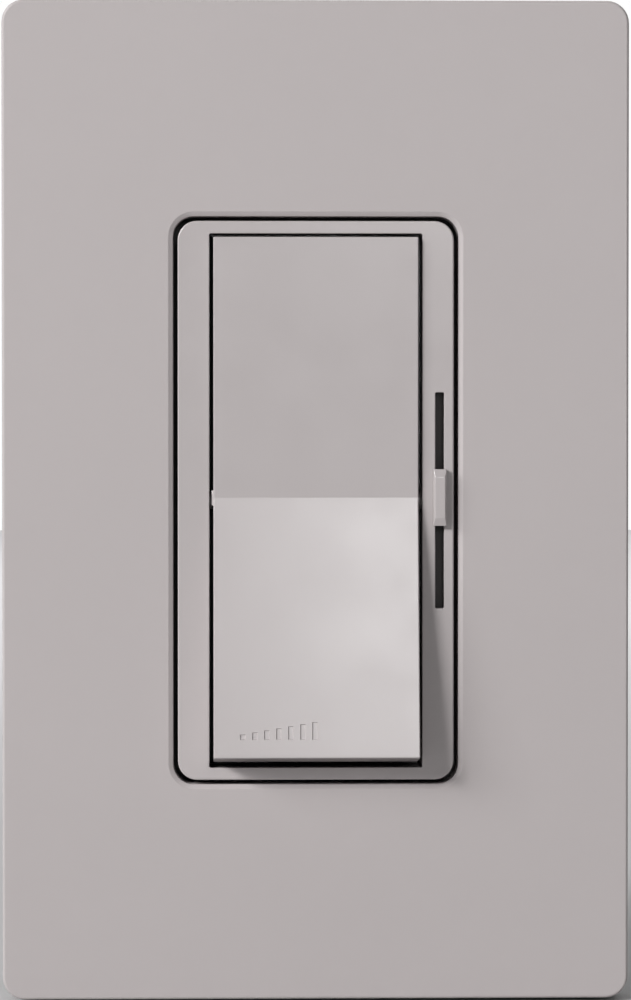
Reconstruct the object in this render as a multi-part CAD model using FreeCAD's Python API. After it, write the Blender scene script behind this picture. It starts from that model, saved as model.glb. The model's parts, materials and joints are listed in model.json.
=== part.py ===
"""Single-gang wall dimmer: a rocking paddle and a linear slide in a bezel, under a screwless wall plate.

Millimetres. +X is right, +Z is up and +Y goes into the wall, so the front faces -Y. The origin is on
the wall plane, midway between the two box screws. Each piece is written to parts/NODE.step. At rest the
upper half of the paddle is pressed in and the slide is near the middle of its travel.
"""

import FreeCAD
import Part
import math
import os

Vector = FreeCAD.Vector

# ---- driving dimensions ----------------------------------------------------------------------

PLATE_W, PLATE_H, PLATE_D = 74.7, 119.1, 7.6
PLATE_CORNER_R = 2.65
PLATE_EDGE_R = 0.5
PLATE_WALL = 1.8
WINDOW_W, WINDOW_H, WINDOW_R = 34.0, 67.7, 2.45
WINDOW_LIP_R = 0.55
ADAPTER_FRONT = -3.0

YOKE_T = 1.6
YOKE_FRONT = -YOKE_T
BOX_SCREW_PITCH = 83.3
PLATE_SCREW_PITCH = 96.8
SCREW_R = 1.75
STUD_START, STUD_END = 0.42, 24.5

BEZEL_W, BEZEL_H, BEZEL_R = 32.9, 66.6, 2.3
BEZEL_FRONT = -7.8
BEZEL_SKIN = 1.5
FLANGE_FRONT = -2.8
WELL_W, WELL_TOP, WELL_BOTTOM = 25.4, 31.8, -31.85
WELL_WALL = 0.8

PADDLE_W = 24.4
FACET_LENGTH = 31.0
HALF_ROCK = 4.25
PIVOT_Y = -3.4
CREASE_Y = -8.51
PADDLE_SKIN = 1.5
SKIRT_BASE_Y = -4.6
END_DRAFT = 0.08
TRUNNION_R = 1.1
HUB_R, HUB_BORE_R = 3.0, 2.05
HUB_END_Y = 1.5
PLUNGER_R, NOSE_R = 1.95, 1.1
PLUNGER_BACK_Y, PLUNGER_TIP_Y = -0.6, 7.1
BORE_END_Y = -6.2

SLIDE_X, SLIDE_REST_Z = 14.77, 0.38
SLOT_W, SLOT_H = 1.05, 25.75
KNOB_W, KNOB_H = 1.6, 6.75
KNOB_TOP_W, KNOB_TOP_H = 0.92, 4.85
KNOB_BASE_Y, KNOB_TOP_Y = -7.95, -8.95
KNOB_CHAMFER = 0.36
SHUTTER_HALF = 22.0

CASE_W, CASE_H, CASE_D, CASE_WALL = 44.4, 69.9, 33.0, 1.6
BOSS_X, BOSS_Z, BOSS_R = 17.5, 31.0, 3.2
POCKET_DEPTH, POCKET_FRONT, POCKET_HALF = 5.0, 16.0, 6.5
TERMINALS = {"common": (-1, 12.0), "traveller_upper": (1, 12.0), "traveller_lower": (1, -12.0)}
TERMINAL_Y = 22.0

BOARD_W, BOARD_H, BOARD_FRONT, BOARD_BACK = 40.6, 66.0, 11.5, 13.1

ROCKER_Y = 8.4
ROCKER_TILT = 6.0
CONTACT_Z = 7.5

TRIM_X, TRIM_Z, TRIM_R = 14.6, -23.5, 5.0
GROUND_X, GROUND_Z = -15.0, -40.3
TRIAC_X, TRIAC_RIVET_Z = -10.5, -12.0

FIT = 0.05

# ---- helpers ---------------------------------------------------------------------------------


def box(x, y, z):
    """A block between the two values of each pair."""
    size = [max(pair) - min(pair) for pair in (x, y, z)]
    return Part.makeBox(*size, Vector(min(x), min(y), min(z)))


def centred(x, y, z, wx, wz):
    """A block wx wide and wz tall about (x, z), between the two y values."""
    return box((x - wx / 2, x + wx / 2), y, (z - wz / 2, z + wz / 2))


def rod(radius, start, end):
    """A cylinder between two points."""
    start, end = Vector(*start), Vector(*end)
    return Part.makeCylinder(radius, start.distanceToPoint(end), start, end - start)


def rod_y(radius, x, z, y0, y1):
    """A cylinder along Y."""
    return rod(radius, (x, y0, z), (x, y1, z))


def cone_y(r0, r1, x, z, y0, y1):
    """A frustum along +Y, of radius r0 at y0 and r1 at y1."""
    return Part.makeCone(r0, r1, y1 - y0, Vector(x, y0, z), Vector(0, 1, 0))


def slab(width, height, radius, y, x=0.0, z=0.0):
    """A block about (x, z) whose four edges along Y are rounded."""
    block = centred(x, y, z, width, height)
    along_y = [e for e in block.Edges if abs(e.tangentAt(e.FirstParameter).y) > 0.99]
    return block.makeFillet(radius, along_y)


def slot(width, height, y, x=0.0, z=0.0):
    """A round-ended slot about (x, z), longer along its larger side."""
    return slab(width, height, min(width, height) / 2 - 0.001, y, x, z)


def prism_x(points, x0, x1):
    """A closed outline of (y, z) points, swept from x0 to x1."""
    corners = [Vector(x0, y, z) for y, z in points]
    return Part.Face(Part.makePolygon(corners + corners[:1])).extrude(Vector(x1 - x0, 0, 0))


def prism_z(points, z0, z1):
    """A closed outline of (x, y) points, swept from z0 to z1."""
    corners = [Vector(x, y, z0) for x, y in points]
    return Part.Face(Part.makePolygon(corners + corners[:1])).extrude(Vector(0, 0, z1 - z0))


def front_edges(shape, y, tolerance=0.01):
    """The edges that lie wholly on the plane at y."""
    return [e for e in shape.Edges if all(abs(v.Y - y) < tolerance for v in e.Vertexes)]


def near_window(edge, half_w, half_h):
    """Whether the middle of an edge is within the given half width and half height."""
    centre = edge.CenterOfMass
    return abs(centre.x) < half_w and abs(centre.z) < half_h


def join(first, *others):
    """One solid from touching pieces."""
    return first.fuse(list(others)).removeSplitter() if others else first


def rocked(shape, degrees, y=PIVOT_Y, z=0.0):
    """The shape turned about an axis along X through (y, z)."""
    turned = shape.copy()
    turned.rotate(Vector(0, y, z), Vector(1, 0, 0), degrees)
    return turned


def pan_screw(x, z, seat, tip, head_r, head_h, shank_r, towards=1):
    """A pan head with a cross recess. Its underside is at seat, and the shank runs along Y to tip."""
    top = seat - towards * head_h
    head = rod_y(head_r, x, z, min(seat, top), max(seat, top))
    rim = [e for e in front_edges(head, top) if e.Length > head_r]
    head = head.makeFillet(head_h * 0.45, rim)
    wing, blade, depth = head_r * 0.62, head_r * 0.2, head_h * 0.6
    for wx, wz in ((wing, blade), (blade, wing)):
        head = head.cut(centred(x, (top, top + towards * depth), z, 2 * wx, 2 * wz))
    return join(head, rod_y(shank_r, x, z, min(seat, tip), max(seat, tip)))


def write(node, *solids):
    """One STEP file per node."""
    shape = solids[0] if len(solids) == 1 else Part.makeCompound(list(solids))
    shape.exportStep(f"parts/{node}.step")


# ---- wall plate ------------------------------------------------------------------------------


def wallplate_cover():
    """The snap-on cover: a shallow shell with a lipped, walled window and catch ribs inside."""
    shell = slab(PLATE_W, PLATE_H, PLATE_CORNER_R, (-PLATE_D, 0))
    shell = shell.makeFillet(PLATE_EDGE_R, front_edges(shell, -PLATE_D))
    inside_w, inside_h = PLATE_W - 2 * PLATE_WALL, PLATE_H - 2 * PLATE_WALL
    shell = shell.cut(slab(inside_w, inside_h, 1.2, (-PLATE_D + PLATE_WALL, 1)))
    wall, wall_y = 1.2, (-PLATE_D + 1, -3.4)
    collar = slab(WINDOW_W + 2 * wall, WINDOW_H + 2 * wall, WINDOW_R + wall, wall_y)
    shell = join(shell, collar).cut(slab(WINDOW_W, WINDOW_H, WINDOW_R, (-PLATE_D - 1, 1)))
    mouth = [e for e in front_edges(shell, -PLATE_D) if near_window(e, 18, 35)]
    shell = shell.makeFillet(WINDOW_LIP_R, mouth)
    ribs = []
    proud, half, rib_y = 0.2, 5.0, (-3.2, -2.2)
    for side in (-1, 1):
        edge, top = side * inside_w / 2, side * inside_h / 2
        for z in (-36, 0, 36):
            ribs.append(box((edge - side * proud, edge + side * 0.2), rib_y, (z - half, z + half)))
        for x in (-18, 18):
            ribs.append(box((x - half, x + half), rib_y, (top - side * proud, top + side * 0.2)))
    return join(shell, *ribs)


def wallplate_adapter():
    """The carrier screwed to the yoke, with a rim towards the wall, snap tabs and stiffening ribs."""
    outer_w, outer_h, plate_front = 70.5, 114.9, ADAPTER_FRONT
    plate = slab(outer_w, outer_h, 1.5, (plate_front, YOKE_FRONT))
    rim = slab(outer_w, outer_h, 1.5, (YOKE_FRONT - 0.5, -0.2))
    rim = rim.cut(slab(outer_w - 2.6, outer_h - 2.6, 1.0, (-3, 1)))
    adapter = join(plate, rim)
    adapter = adapter.cut(slab(36.4, 69.9, 3.0, (-4, 0)))
    adapter = adapter.cut(box((17, 21.5), (-4, 0), (TRIM_Z - 5.5, TRIM_Z + 5.5)))
    for end in (-1, 1):
        adapter = adapter.cut(rod_y(3.8, 0, end * BOX_SCREW_PITCH / 2, -4, 0))
        adapter = adapter.cut(rod_y(1.8, 0, end * PLATE_SCREW_PITCH / 2, -4, 0))
        adapter = adapter.cut(slot(14, 5, (-4, 0), 20, end * 47))
        adapter = adapter.cut(slot(14, 5, (-4, 0), -20, end * 47))
    extras = []
    tab_half, tab_t = 4.0, 1.3
    tab_y, rib_y = (-5.3, plate_front + 0.2), (-4.2, plate_front + 0.2)
    for side in (-1, 1):
        edge, top = side * outer_w / 2, side * outer_h / 2
        for z in (-36, 0, 36):
            extras.append(box((edge, edge - side * tab_t), tab_y, (z - tab_half, z + tab_half)))
            extras.append(box((side * 27, edge - side), rib_y, (z - 0.6, z + 0.6)))
        for x in (-18, 18):
            extras.append(box((x - tab_half, x + tab_half), tab_y, (top, top - side * tab_t)))
        for x in (-23.5, 23.5):
            extras.append(box((x - 0.6, x + 0.6), rib_y, (side * 38, side * 43)))
    return join(adapter, *extras)


def adapter_screws():
    """Two short screws that hold the adapter to the yoke."""
    return [pan_screw(0, s * PLATE_SCREW_PITCH / 2, ADAPTER_FRONT, 6.5, 2.9, 1.8, 1.7) for s in (-1, 1)]


# ---- bezel, paddle and slide knob ------------------------------------------------------------


def bezel():
    """The frame in the window, with the paddle's well and bearings, the slide's slot and snap legs."""
    frame = slab(BEZEL_W, BEZEL_H, BEZEL_R, (BEZEL_FRONT, YOKE_FRONT))
    frame = frame.makeFillet(0.3, front_edges(frame, BEZEL_FRONT))
    frame = join(frame, slab(35.0, 68.6, 3.0, (FLANGE_FRONT, YOKE_FRONT)))
    well = (WELL_BOTTOM, WELL_TOP)
    half_well, edge = WELL_W / 2, BEZEL_W / 2
    frame = frame.cut(box((-half_well, half_well), (-9, 0), well))
    channel_end = BEZEL_H / 2 - 1.1
    channel_back = (BEZEL_FRONT + BEZEL_SKIN, 0)
    channel = (half_well + WELL_WALL, edge - 0.9)
    frame = frame.cut(box(channel, channel_back, (-channel_end, channel_end)))
    for low, high in ((-31, -21), (-19, -1.5), (1.5, 19), (21, 31)):
        frame = frame.cut(box((-channel[0], -channel[1]), channel_back, (low, high)))
    frame = frame.cut(centred(SLIDE_X, (-9, -5), 0.02, SLOT_W, SLOT_H))
    bearing_x = channel[0] + 0.01
    frame = frame.cut(rod(TRUNNION_R + FIT, (-bearing_x, PIVOT_Y, 0), (bearing_x, PIVOT_Y, 0)))
    openings = [e for e in front_edges(frame, BEZEL_FRONT) if near_window(e, edge - 0.9, WELL_TOP + 0.2)]
    frame = frame.makeFillet(0.12, openings)
    legs = []
    for x in (-8, 8):
        for end in (-1, 1):
            legs.append(box((x - 2, x + 2), (-2.0, 1.5), (end * 32.0, end * 33.1)))
            hook = ((0.05, end * 31.3), (0.3, end * 31.3), (1.5, end * 32.0), (0.05, end * 32.0))
            legs.append(prism_x(hook, x - 2, x + 2))
    return join(frame, *legs)


def bezel_seal():
    """The thin black seal on the bezel's flange, under the gap round the bezel."""
    y = (FLANGE_FRONT - 0.2, FLANGE_FRONT - 0.02)
    return slab(34.8, 68.4, 2.9, y).cut(slab(BEZEL_W + 0.1, BEZEL_H + 0.1, BEZEL_R + 0.05, (-4, 0)))


def well_film():
    """The black film on the yoke inside the well, open round the paddle's hub."""
    y, middle = (YOKE_FRONT - 0.2, YOKE_FRONT - 0.02), (WELL_TOP + WELL_BOTTOM) / 2
    film = centred(0, y, middle, WELL_W - 0.1, WELL_TOP - WELL_BOTTOM - 0.1)
    return film.cut(centred(0, (-3, 0), 0, 10.4, 16.4))


def paddle_outline(inset=0.0):
    """The paddle's side outline in (y, z): two facets meeting at the crease, and drafted ends."""
    end_y = CREASE_Y - FACET_LENGTH * math.sin(math.radians(HALF_ROCK))
    end_z = FACET_LENGTH * math.cos(math.radians(HALF_ROCK))
    base_z = end_z + END_DRAFT * (SKIRT_BASE_Y - end_y)
    if inset:
        return [
            (CREASE_Y + inset, 0),
            (end_y + inset, end_z - inset),
            (1, base_z - inset),
            (1, inset - base_z),
            (end_y + inset, inset - end_z),
        ]
    ear_z, ear_y = 3.2, -2.2
    half = [(SKIRT_BASE_Y, ear_z + 1.6), (SKIRT_BASE_Y, base_z), (end_y, end_z)]
    mirrored = [(y, -z) for y, z in reversed(half)]
    return [(CREASE_Y, 0), *mirrored, (ear_y, -ear_z), (ear_y, ear_z), *half]


def paddle():
    """The rocking paddle, with stiffening ribs, trunnions, a hub for the spring plunger and a pivot pad."""
    half = PADDLE_W / 2
    solid = prism_x(paddle_outline(), -half, half)
    end_y = CREASE_Y - FACET_LENGTH * math.sin(math.radians(HALF_ROCK))
    centres = [(e, e.CenterOfMass) for e in solid.Edges]
    corners = [e for e, c in centres if abs(c.x) > half - 0.1 and abs(c.z) > 30 and e.Length < 8]
    solid = solid.makeFillet(0.35, corners)
    rim = []
    for e in solid.Edges:
        c = e.CenterOfMass
        on_side = abs(abs(c.x) - half) < 0.01 and c.y < CREASE_Y - 0.5 and 1 < abs(c.z) < 29
        on_end = c.y < end_y + 0.1 and abs(c.z) > 30
        if on_side or on_end:
            rim.append(e)
    solid = solid.makeFillet(0.28, rim)
    outer = solid.copy()
    cavity = half - 1.4
    solid = solid.cut(prism_x(paddle_outline(PADDLE_SKIN), -cavity, cavity))
    ribs = [box((x - 0.5, x + 0.5), (-12, -5.2), (-30.5, 30.5)) for x in (-6.5, 6.5)]
    ribs += [box((-12, 12), (-12, -5.4), (z - 0.5, z + 0.5)) for z in (-22, -12, 12, 22)]
    ribs += [box((-12, 12), (-12, -5.0), (-0.6, 0.6))]
    solid = join(solid, *[rib.common(outer) for rib in ribs])
    hub = rod_y(HUB_R, 0, 0, CREASE_Y + 0.8, HUB_END_Y)
    webs = [box((-4.4, 4.4), (-8, -2.5), (-0.6, 0.6)), box((-0.6, 0.6), (-8, -2.5), (-5.0, 5.0))]
    solid = join(solid, hub, *webs)
    solid = solid.cut(rod_y(HUB_BORE_R, 0, 0, BORE_END_Y, HUB_END_Y + 1))
    trunnions = [rod(TRUNNION_R, (s * cavity, PIVOT_Y, 0), (s * (half + 1.2), PIVOT_Y, 0)) for s in (-1, 1)]
    pad = box((-half - 0.2, -half + 0.1), (CREASE_Y + 0.25, PIVOT_Y), (-0.9, 0.9))
    return rocked(join(solid, pad, *trunnions), -HALF_ROCK)


def paddle_plunger():
    """The spring plunger whose round nose tips the contact rocker."""
    body = rod_y(PLUNGER_R, 0, 0, PLUNGER_BACK_Y, 3.2)
    nose = rod_y(NOSE_R, 0, 0, 3.2, PLUNGER_TIP_Y - NOSE_R)
    tip = Part.makeSphere(NOSE_R, Vector(0, PLUNGER_TIP_Y - NOSE_R, 0))
    spigot = rod_y(1.0, 0, 0, PLUNGER_BACK_Y - 1.2, PLUNGER_BACK_Y)
    return rocked(join(body, nose, tip, spigot), -HALF_ROCK)


def paddle_spring():
    """The plunger's compression spring, as the tube that its coils fill."""
    y0, y1 = BORE_END_Y + FIT, PLUNGER_BACK_Y - FIT
    return rocked(rod_y(1.7, 0, 0, y0, y1).cut(rod_y(1.2, 0, 0, y0, y1)), -HALF_ROCK)


def slider_knob():
    """The slide knob: a chamfered cap, a blade through the slot, a guide and a tail to the potentiometer."""

    def ring(w, h, y):
        signs = ((-1, -1), (1, -1), (1, 1), (-1, 1), (-1, -1))
        return Part.makePolygon([Vector(SLIDE_X + a * w / 2, y, SLIDE_REST_Z + b * h / 2) for a, b in signs])

    shoulder = KNOB_TOP_Y + KNOB_CHAMFER
    rings = [ring(KNOB_W, KNOB_H, shoulder), ring(KNOB_TOP_W, KNOB_TOP_H, KNOB_TOP_Y)]
    roof = Part.makeLoft(rings, True, True)
    base = centred(SLIDE_X, (shoulder, KNOB_BASE_Y), SLIDE_REST_Z, KNOB_W, KNOB_H)
    cap = join(base, roof)
    cap = cap.makeFillet(0.08, [e for e in cap.Edges if e.CenterOfMass.y < shoulder - 0.1])
    blade = centred(SLIDE_X, (KNOB_BASE_Y, -5.9), SLIDE_REST_Z, 0.8, 4.4)
    guide = centred(SLIDE_X, (-5.9, -2.5), SLIDE_REST_Z, 1.2, 7.0)
    tail = centred(SLIDE_X, (-2.5, 4.2), SLIDE_REST_Z, 1.2, 3.0)
    return join(cap, blade, guide, tail)


def dust_shutter():
    """The dark strip behind the slot that travels with the knob."""
    strip = centred(SLIDE_X - 0.22, (-6.15, -5.92), SLIDE_REST_Z, 1.66, 2 * SHUTTER_HALF)
    return strip.cut(centred(SLIDE_X, (-7, -5), SLIDE_REST_Z, 0.9, 4.5))


# ---- yoke, case and fasteners ----------------------------------------------------------------


def yoke():
    """The aluminium strap and heat sink, with ears, break-off fins and windows."""
    thick = (YOKE_FRONT, 0)
    plate = join(slab(44.4, 87.0, 3.0, thick), slab(26.0, 105.4, 4.5, thick), slab(57.0, 66.0, 2.0, thick))
    cuts = [centred(0, (-2, 1), 0, 10, 16), slot(2.6, 25.0, (-2, 1), SLIDE_X, SLIDE_REST_Z)]
    cuts.append(rod_y(TRIM_R + 0.4, TRIM_X, TRIM_Z, -2, 1))
    cuts.append(rod_y(SCREW_R, GROUND_X, GROUND_Z, -2, 1))
    cuts.append(cone_y(2.6, 1.6, TRIAC_X, TRIAC_RIVET_Z, YOKE_FRONT, YOKE_FRONT + 1.0))
    cuts.append(rod_y(1.6, TRIAC_X, TRIAC_RIVET_Z, -2, 1))
    for end in (-1, 1):
        cuts.append(rod_y(SCREW_R, 0, end * PLATE_SCREW_PITCH / 2, -2, 1))
        cuts.append(slot(7.0, 4.2, (-2, 1), 0, end * BOX_SCREW_PITCH / 2))
        for side in (-1, 1):
            cuts.append(rod_y(1.55, side * BOSS_X, end * BOSS_Z, -2, 1))
            cuts.append(box((side * 8 - 2.3, side * 8 + 2.3), (-2, 1), (end * 31.9, end * 33.25)))
            cuts.append(slot(0.9, 12.0, (-2, 1), side * 23.6, end * 21))
            cuts.append(slot(1.6, 5.0, (-2, 1), side * 10.5, end * 49.0))
    for side in (-1, 1):
        x = side * 23.6
        groove = ((x - 0.55, YOKE_FRONT - 0.1), (x + 0.55, YOKE_FRONT - 0.1), (x, YOKE_FRONT + 0.6))
        cuts.append(prism_z(groove, -34, 34))
        cuts.append(slot(0.9, 12.0, (-2, 1), x, 0))
    return plate.cut(cuts)


def mounting_screws():
    """Two long pan head screws into the wall box, necked so that the retainers keep them captive."""
    screws = []
    for end in (-1, 1):
        z = end * BOX_SCREW_PITCH / 2
        head = pan_screw(0, z, YOKE_FRONT, STUD_START, 3.3, 2.1, 1.5)
        shank = rod_y(SCREW_R, 0, z, STUD_START, STUD_END)
        point = cone_y(SCREW_R, 1.1, 0, z, STUD_END, STUD_END + 0.9)
        screws.append(join(head, shank, point))
    return screws


def screw_retainers():
    """Two thin fibre squares on the necks of the box screws."""
    squares = []
    for end in (-1, 1):
        z = end * BOX_SCREW_PITCH / 2
        squares.append(slab(9.5, 9.5, 1.5, (0, 0.38), 0, z).cut(rod_y(1.6, 0, z, -1, 1)))
    return squares


def pocket(side, z, grow=0.0):
    """The open pocket in the case's side for one wire terminal, grown by the wall to shape the inside."""
    floor = side * (CASE_W / 2 - POCKET_DEPTH - grow)
    half = POCKET_HALF + grow
    return box((floor, side * 30), (POCKET_FRONT - grow, 40), (z - half, z + half))


def back_case():
    """The open-fronted case, with screw bosses, three terminal pockets, a strip gauge and a label recess."""
    outer = slab(CASE_W, CASE_H, 2.5, (0, CASE_D))
    outer = outer.makeFillet(1.2, front_edges(outer, CASE_D))
    inside_w, inside_h, floor = CASE_W - 2 * CASE_WALL, CASE_H - 2 * CASE_WALL, CASE_D - CASE_WALL
    inside = slab(inside_w, inside_h, 1.2, (-1, floor))
    for side, z in TERMINALS.values():
        outer = outer.cut(pocket(side, z))
        inside = inside.cut(pocket(side, z, CASE_WALL))
    case = outer.cut(inside)
    corners = [(sx * BOSS_X, sz * BOSS_Z) for sx in (-1, 1) for sz in (-1, 1)]
    case = join(case, *[rod_y(BOSS_R, x, z, 0, CASE_D - 0.5).common(outer) for x, z in corners])
    for x, z in corners:
        case = case.cut(rod_y(1.65, x, z, -1, 40)).cut(rod_y(2.9, x, z, CASE_D - 1.9, 40))
    for side, z in TERMINALS.values():
        floor_x = side * (CASE_W / 2 - POCKET_DEPTH)
        case = case.cut(box((floor_x - side * 0.05, floor_x + side * 0.85), (13, 17), (z - 1.6, z + 1.6)))
        case = case.cut(rod(1.7, (floor_x - side * 3, TERMINAL_Y, z), (floor_x + side * 3, TERMINAL_Y, z)))
    case = case.cut(slot(12.0, 2.4, (CASE_D - 0.6, 40), 0, -22.0))
    case = case.cut(slab(22.0, 26.0, 1.0, (CASE_D - 0.3, 40), 0, 2.0))
    ribs = [centred(x, (8, CASE_D - 1), z, 1.0, 0.8) for x in (-9, 0, 9) for z in (-34.95, 34.95)]
    return join(case, *ribs)


def case_screws():
    """Four screws from the back of the case into the yoke."""
    seat = CASE_D - 1.9
    return [
        pan_screw(sx * BOSS_X, sz * BOSS_Z, seat, YOKE_FRONT + 0.1, 2.7, 1.7, 1.5, towards=-1)
        for sx in (-1, 1)
        for sz in (-1, 1)
    ]


def insulator_sheet():
    """The fibre sheet between the yoke and the live pieces."""
    sheet = centred(0, (0.02, 0.32), 0, 40.4, 61.0)
    cuts = [centred(0, (-1, 1), 0, 11, 17), centred(SLIDE_X, (-1, 1), 0, 3.2, 27)]
    cuts.append(rod_y(3.0, TRIM_X, TRIM_Z, -1, 1))
    cuts.append(box((TRIAC_X - 6, TRIAC_X + 6), (-1, 1), (-26, -8.4)))
    cuts += [centred(sx * 18.5, (-1, 1), sz * 31, 10, 8) for sx in (-1, 1) for sz in (-1, 1)]
    return sheet.cut(cuts)


def ground_screw():
    """The hex head grounding screw at the lower corner of the yoke."""
    reach = 6.4 / math.sqrt(3)
    angles = [math.radians(a) for a in range(0, 360, 60)]
    points = [Vector(GROUND_X + reach * math.cos(a), 1.0, GROUND_Z + reach * math.sin(a)) for a in angles]
    head = Part.Face(Part.makePolygon(points + points[:1])).extrude(Vector(0, 2.4, 0))
    head = head.common(cone_y(4.6, 3.2, GROUND_X, GROUND_Z, 1.0, 3.4))
    head = head.cut(centred(GROUND_X, (2.5, 4), GROUND_Z, 8, 0.9))
    return join(head, rod_y(1.7, GROUND_X, GROUND_Z, -1.5, 1.0))


def ground_clamp():
    """The square clamp under the grounding screw."""
    clamp = slab(8.0, 8.0, 0.8, (0, 1.0), GROUND_X, GROUND_Z)
    return clamp.cut(rod_y(1.8, GROUND_X, GROUND_Z, -1, 2))


# ---- terminals -------------------------------------------------------------------------------


def terminal_screw(side, z):
    """A binding screw along X, its dome head outwards."""
    floor = side * (CASE_W / 2 - POCKET_DEPTH)
    seat, top, tip = floor + side * 1.8, floor + side * 4.0, floor - side * 1.2
    head = rod(3.5, (seat, TERMINAL_Y, z), (top, TERMINAL_Y, z))
    rim = [e for e in head.Edges if all(abs(v.X - top) < 0.01 for v in e.Vertexes)]
    head = head.makeFillet(1.0, rim)
    head = head.cut(box((top, top - side * 1.1), (TERMINAL_Y - 4, TERMINAL_Y + 4), (z - 0.5, z + 0.5)))
    cross = box((top, top - side * 1.1), (TERMINAL_Y - 0.5, TERMINAL_Y + 0.5), (z - 2.2, z + 2.2))
    return join(head.cut(cross), rod(1.5, (seat, TERMINAL_Y, z), (tip, TERMINAL_Y, z)))


def wire_clamp(side, z):
    """The square clamp plate under a binding screw, with turned-in edges that hold the wire."""
    floor = side * (CASE_W / 2 - POCKET_DEPTH)
    low, high = floor + side * 0.82, floor + side * 1.78
    plate = box((low, high), (TERMINAL_Y - 4.4, TERMINAL_Y + 4.4), (z - 4.6, z + 4.6))
    for offset in (-1, 1):
        groove_z = z + offset * 3.0
        plate = plate.cut(rod(0.5, (low, TERMINAL_Y - 5, groove_z), (low, TERMINAL_Y + 5, groove_z)))
    return plate.cut(rod(1.65, (low - side, TERMINAL_Y, z), (high + side, TERMINAL_Y, z)))


def terminal_plate(side, z):
    """The brass plate on the pocket's floor, whose leg runs forward to the circuit board."""
    floor = side * (CASE_W / 2 - POCKET_DEPTH)
    x = (floor, floor + side * 0.8)
    plate = box(x, (POCKET_FRONT + 0.1, 26.8), (z - 4.6, z + 4.6))
    plate = plate.cut(rod(1.55, (floor - 2, TERMINAL_Y, z), (floor + 2, TERMINAL_Y, z)))
    return join(plate, box(x, (BOARD_FRONT + 0.05, POCKET_FRONT + 0.2), (z - 1.5, z + 1.5)))


# ---- circuit board, switch and potentiometers ------------------------------------------------


def circuit_board():
    """The board, notched round the bosses, slotted for the terminal plates and drilled for the leads."""
    board = centred(0, (BOARD_FRONT, BOARD_BACK), 0, BOARD_W, BOARD_H)
    cuts = [centred(sx * 18.4, (10, 15), sz * 31.5, 9.0, 8.6) for sx in (-1, 1) for sz in (-1, 1)]
    for side, z in TERMINALS.values():
        cuts.append(box((side * 17.1, side * 18.1), (10, 15), (z - 1.6, z + 1.6)))
    cuts += [rod_y(LEAD_R + 0.1, bend, z, 10, 15) for _, bend, _, z in axial_leads()]
    cuts += [rod_y(0.5, x, z, 10, 15) for x, z in PINS]
    cuts += [centred(TRIAC_X + 2.54 * i, (10, 15), -26.85, 1.0, 0.7) for i in (-1, 0, 1)]
    return board.cut(cuts)


def contact_rocker():
    """The contact blade on its knuckle, tilted so that its lower end is on the lower contact."""
    blade = centred(0, (ROCKER_Y - 1.15, ROCKER_Y - 0.55), 0, 5.0, 18.4)
    knuckle = rod(0.7, (-3.8, ROCKER_Y, 0), (3.8, ROCKER_Y, 0))
    neck = centred(0, (ROCKER_Y - 0.6, ROCKER_Y), 0, 5.0, 1.2)
    return rocked(join(blade, neck, knuckle), ROCKER_TILT, ROCKER_Y)


def rocker_buttons():
    """The two silver buttons riveted to the ends of the rocker."""
    buttons = [rod_y(1.2, 0, s * CONTACT_Z, ROCKER_Y - 0.55, ROCKER_Y + 0.34) for s in (-1, 1)]
    return [rocked(b, ROCKER_TILT, ROCKER_Y) for b in buttons]


def common_bracket():
    """The bracket that carries the rocker: a base on the board and two notched ears."""
    base = centred(0, (10.9, BOARD_FRONT), 0, 7.4, 5.0)
    ears = [box((s * 2.9, s * 3.5), (7.5, 11.0), (-2.0, 2.0)) for s in (-1, 1)]
    bracket = join(base, *ears)
    bracket = bracket.cut(rod(0.75, (-5, ROCKER_Y, 0), (5, ROCKER_Y, 0)))
    return bracket.cut(box((-5, 5), (7, ROCKER_Y), (-0.75, 0.75)))


def traveller_contact(end):
    """A fixed contact strap that stands on the board by two legs."""
    z = end * CONTACT_Z
    strap = centred(0, (10.3, 10.9), z, 5.0, 5.6)
    legs = [centred(s * 2.1, (10.4, BOARD_FRONT), z + end * 2.2, 0.8, 1.2) for s in (-1, 1)]
    return join(strap, *legs)


def fixed_buttons():
    """The silver buttons on the two fixed straps."""
    return [rod_y(1.3, 0, s * CONTACT_Z, 9.75, 10.3) for s in (-1, 1)]


def slide_pot_case():
    """The slide potentiometer's housing, open along its front slot."""
    x0, y0, y1 = SLIDE_X, 4.6, BOARD_FRONT
    case = slab(7.0, 34.0, 0.6, (y0, y1), x0)
    case = case.cut(centred(x0, (y0 + 0.7, 10.9), 0, 5.6, 32.6))
    return case.cut(slot(2.2, 26.0, (y0 - 1, y0 + 1), x0, SLIDE_REST_Z))


def slide_pot_track():
    """The resistive track card on the floor of the slide potentiometer."""
    return centred(SLIDE_X, (10.35, 10.85), 0, 5.2, 32.0)


def slide_pot_wiper():
    """The wiper block, whose two prongs straddle the knob's tail."""
    block = centred(SLIDE_X, (5.6, 8.6), SLIDE_REST_Z, 4.8, 6.4)
    prongs = [centred(SLIDE_X, (2.0, 5.7), SLIDE_REST_Z + s * 2.1, 1.4, 1.0) for s in (-1, 1)]
    return join(block, *prongs)


def slide_pot_brush():
    """The brush under the wiper block: a plate and two bent fingers on the track."""
    plate = centred(SLIDE_X, (8.62, 8.82), SLIDE_REST_Z, 4.0, 5.0)
    z0 = SLIDE_REST_Z - 2.5
    arm = [(8.82, z0 + 0.05), (8.62, z0), (10.05, z0 - 1.4)]
    foot = [(10.05, z0 - 2.2), (10.25, z0 - 2.2), (10.25, z0 - 1.2)]
    fingers = [prism_x(arm + foot, SLIDE_X + s * 1.2 - 0.5, SLIDE_X + s * 1.2 + 0.5) for s in (-1, 1)]
    return join(plate, *fingers)


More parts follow.
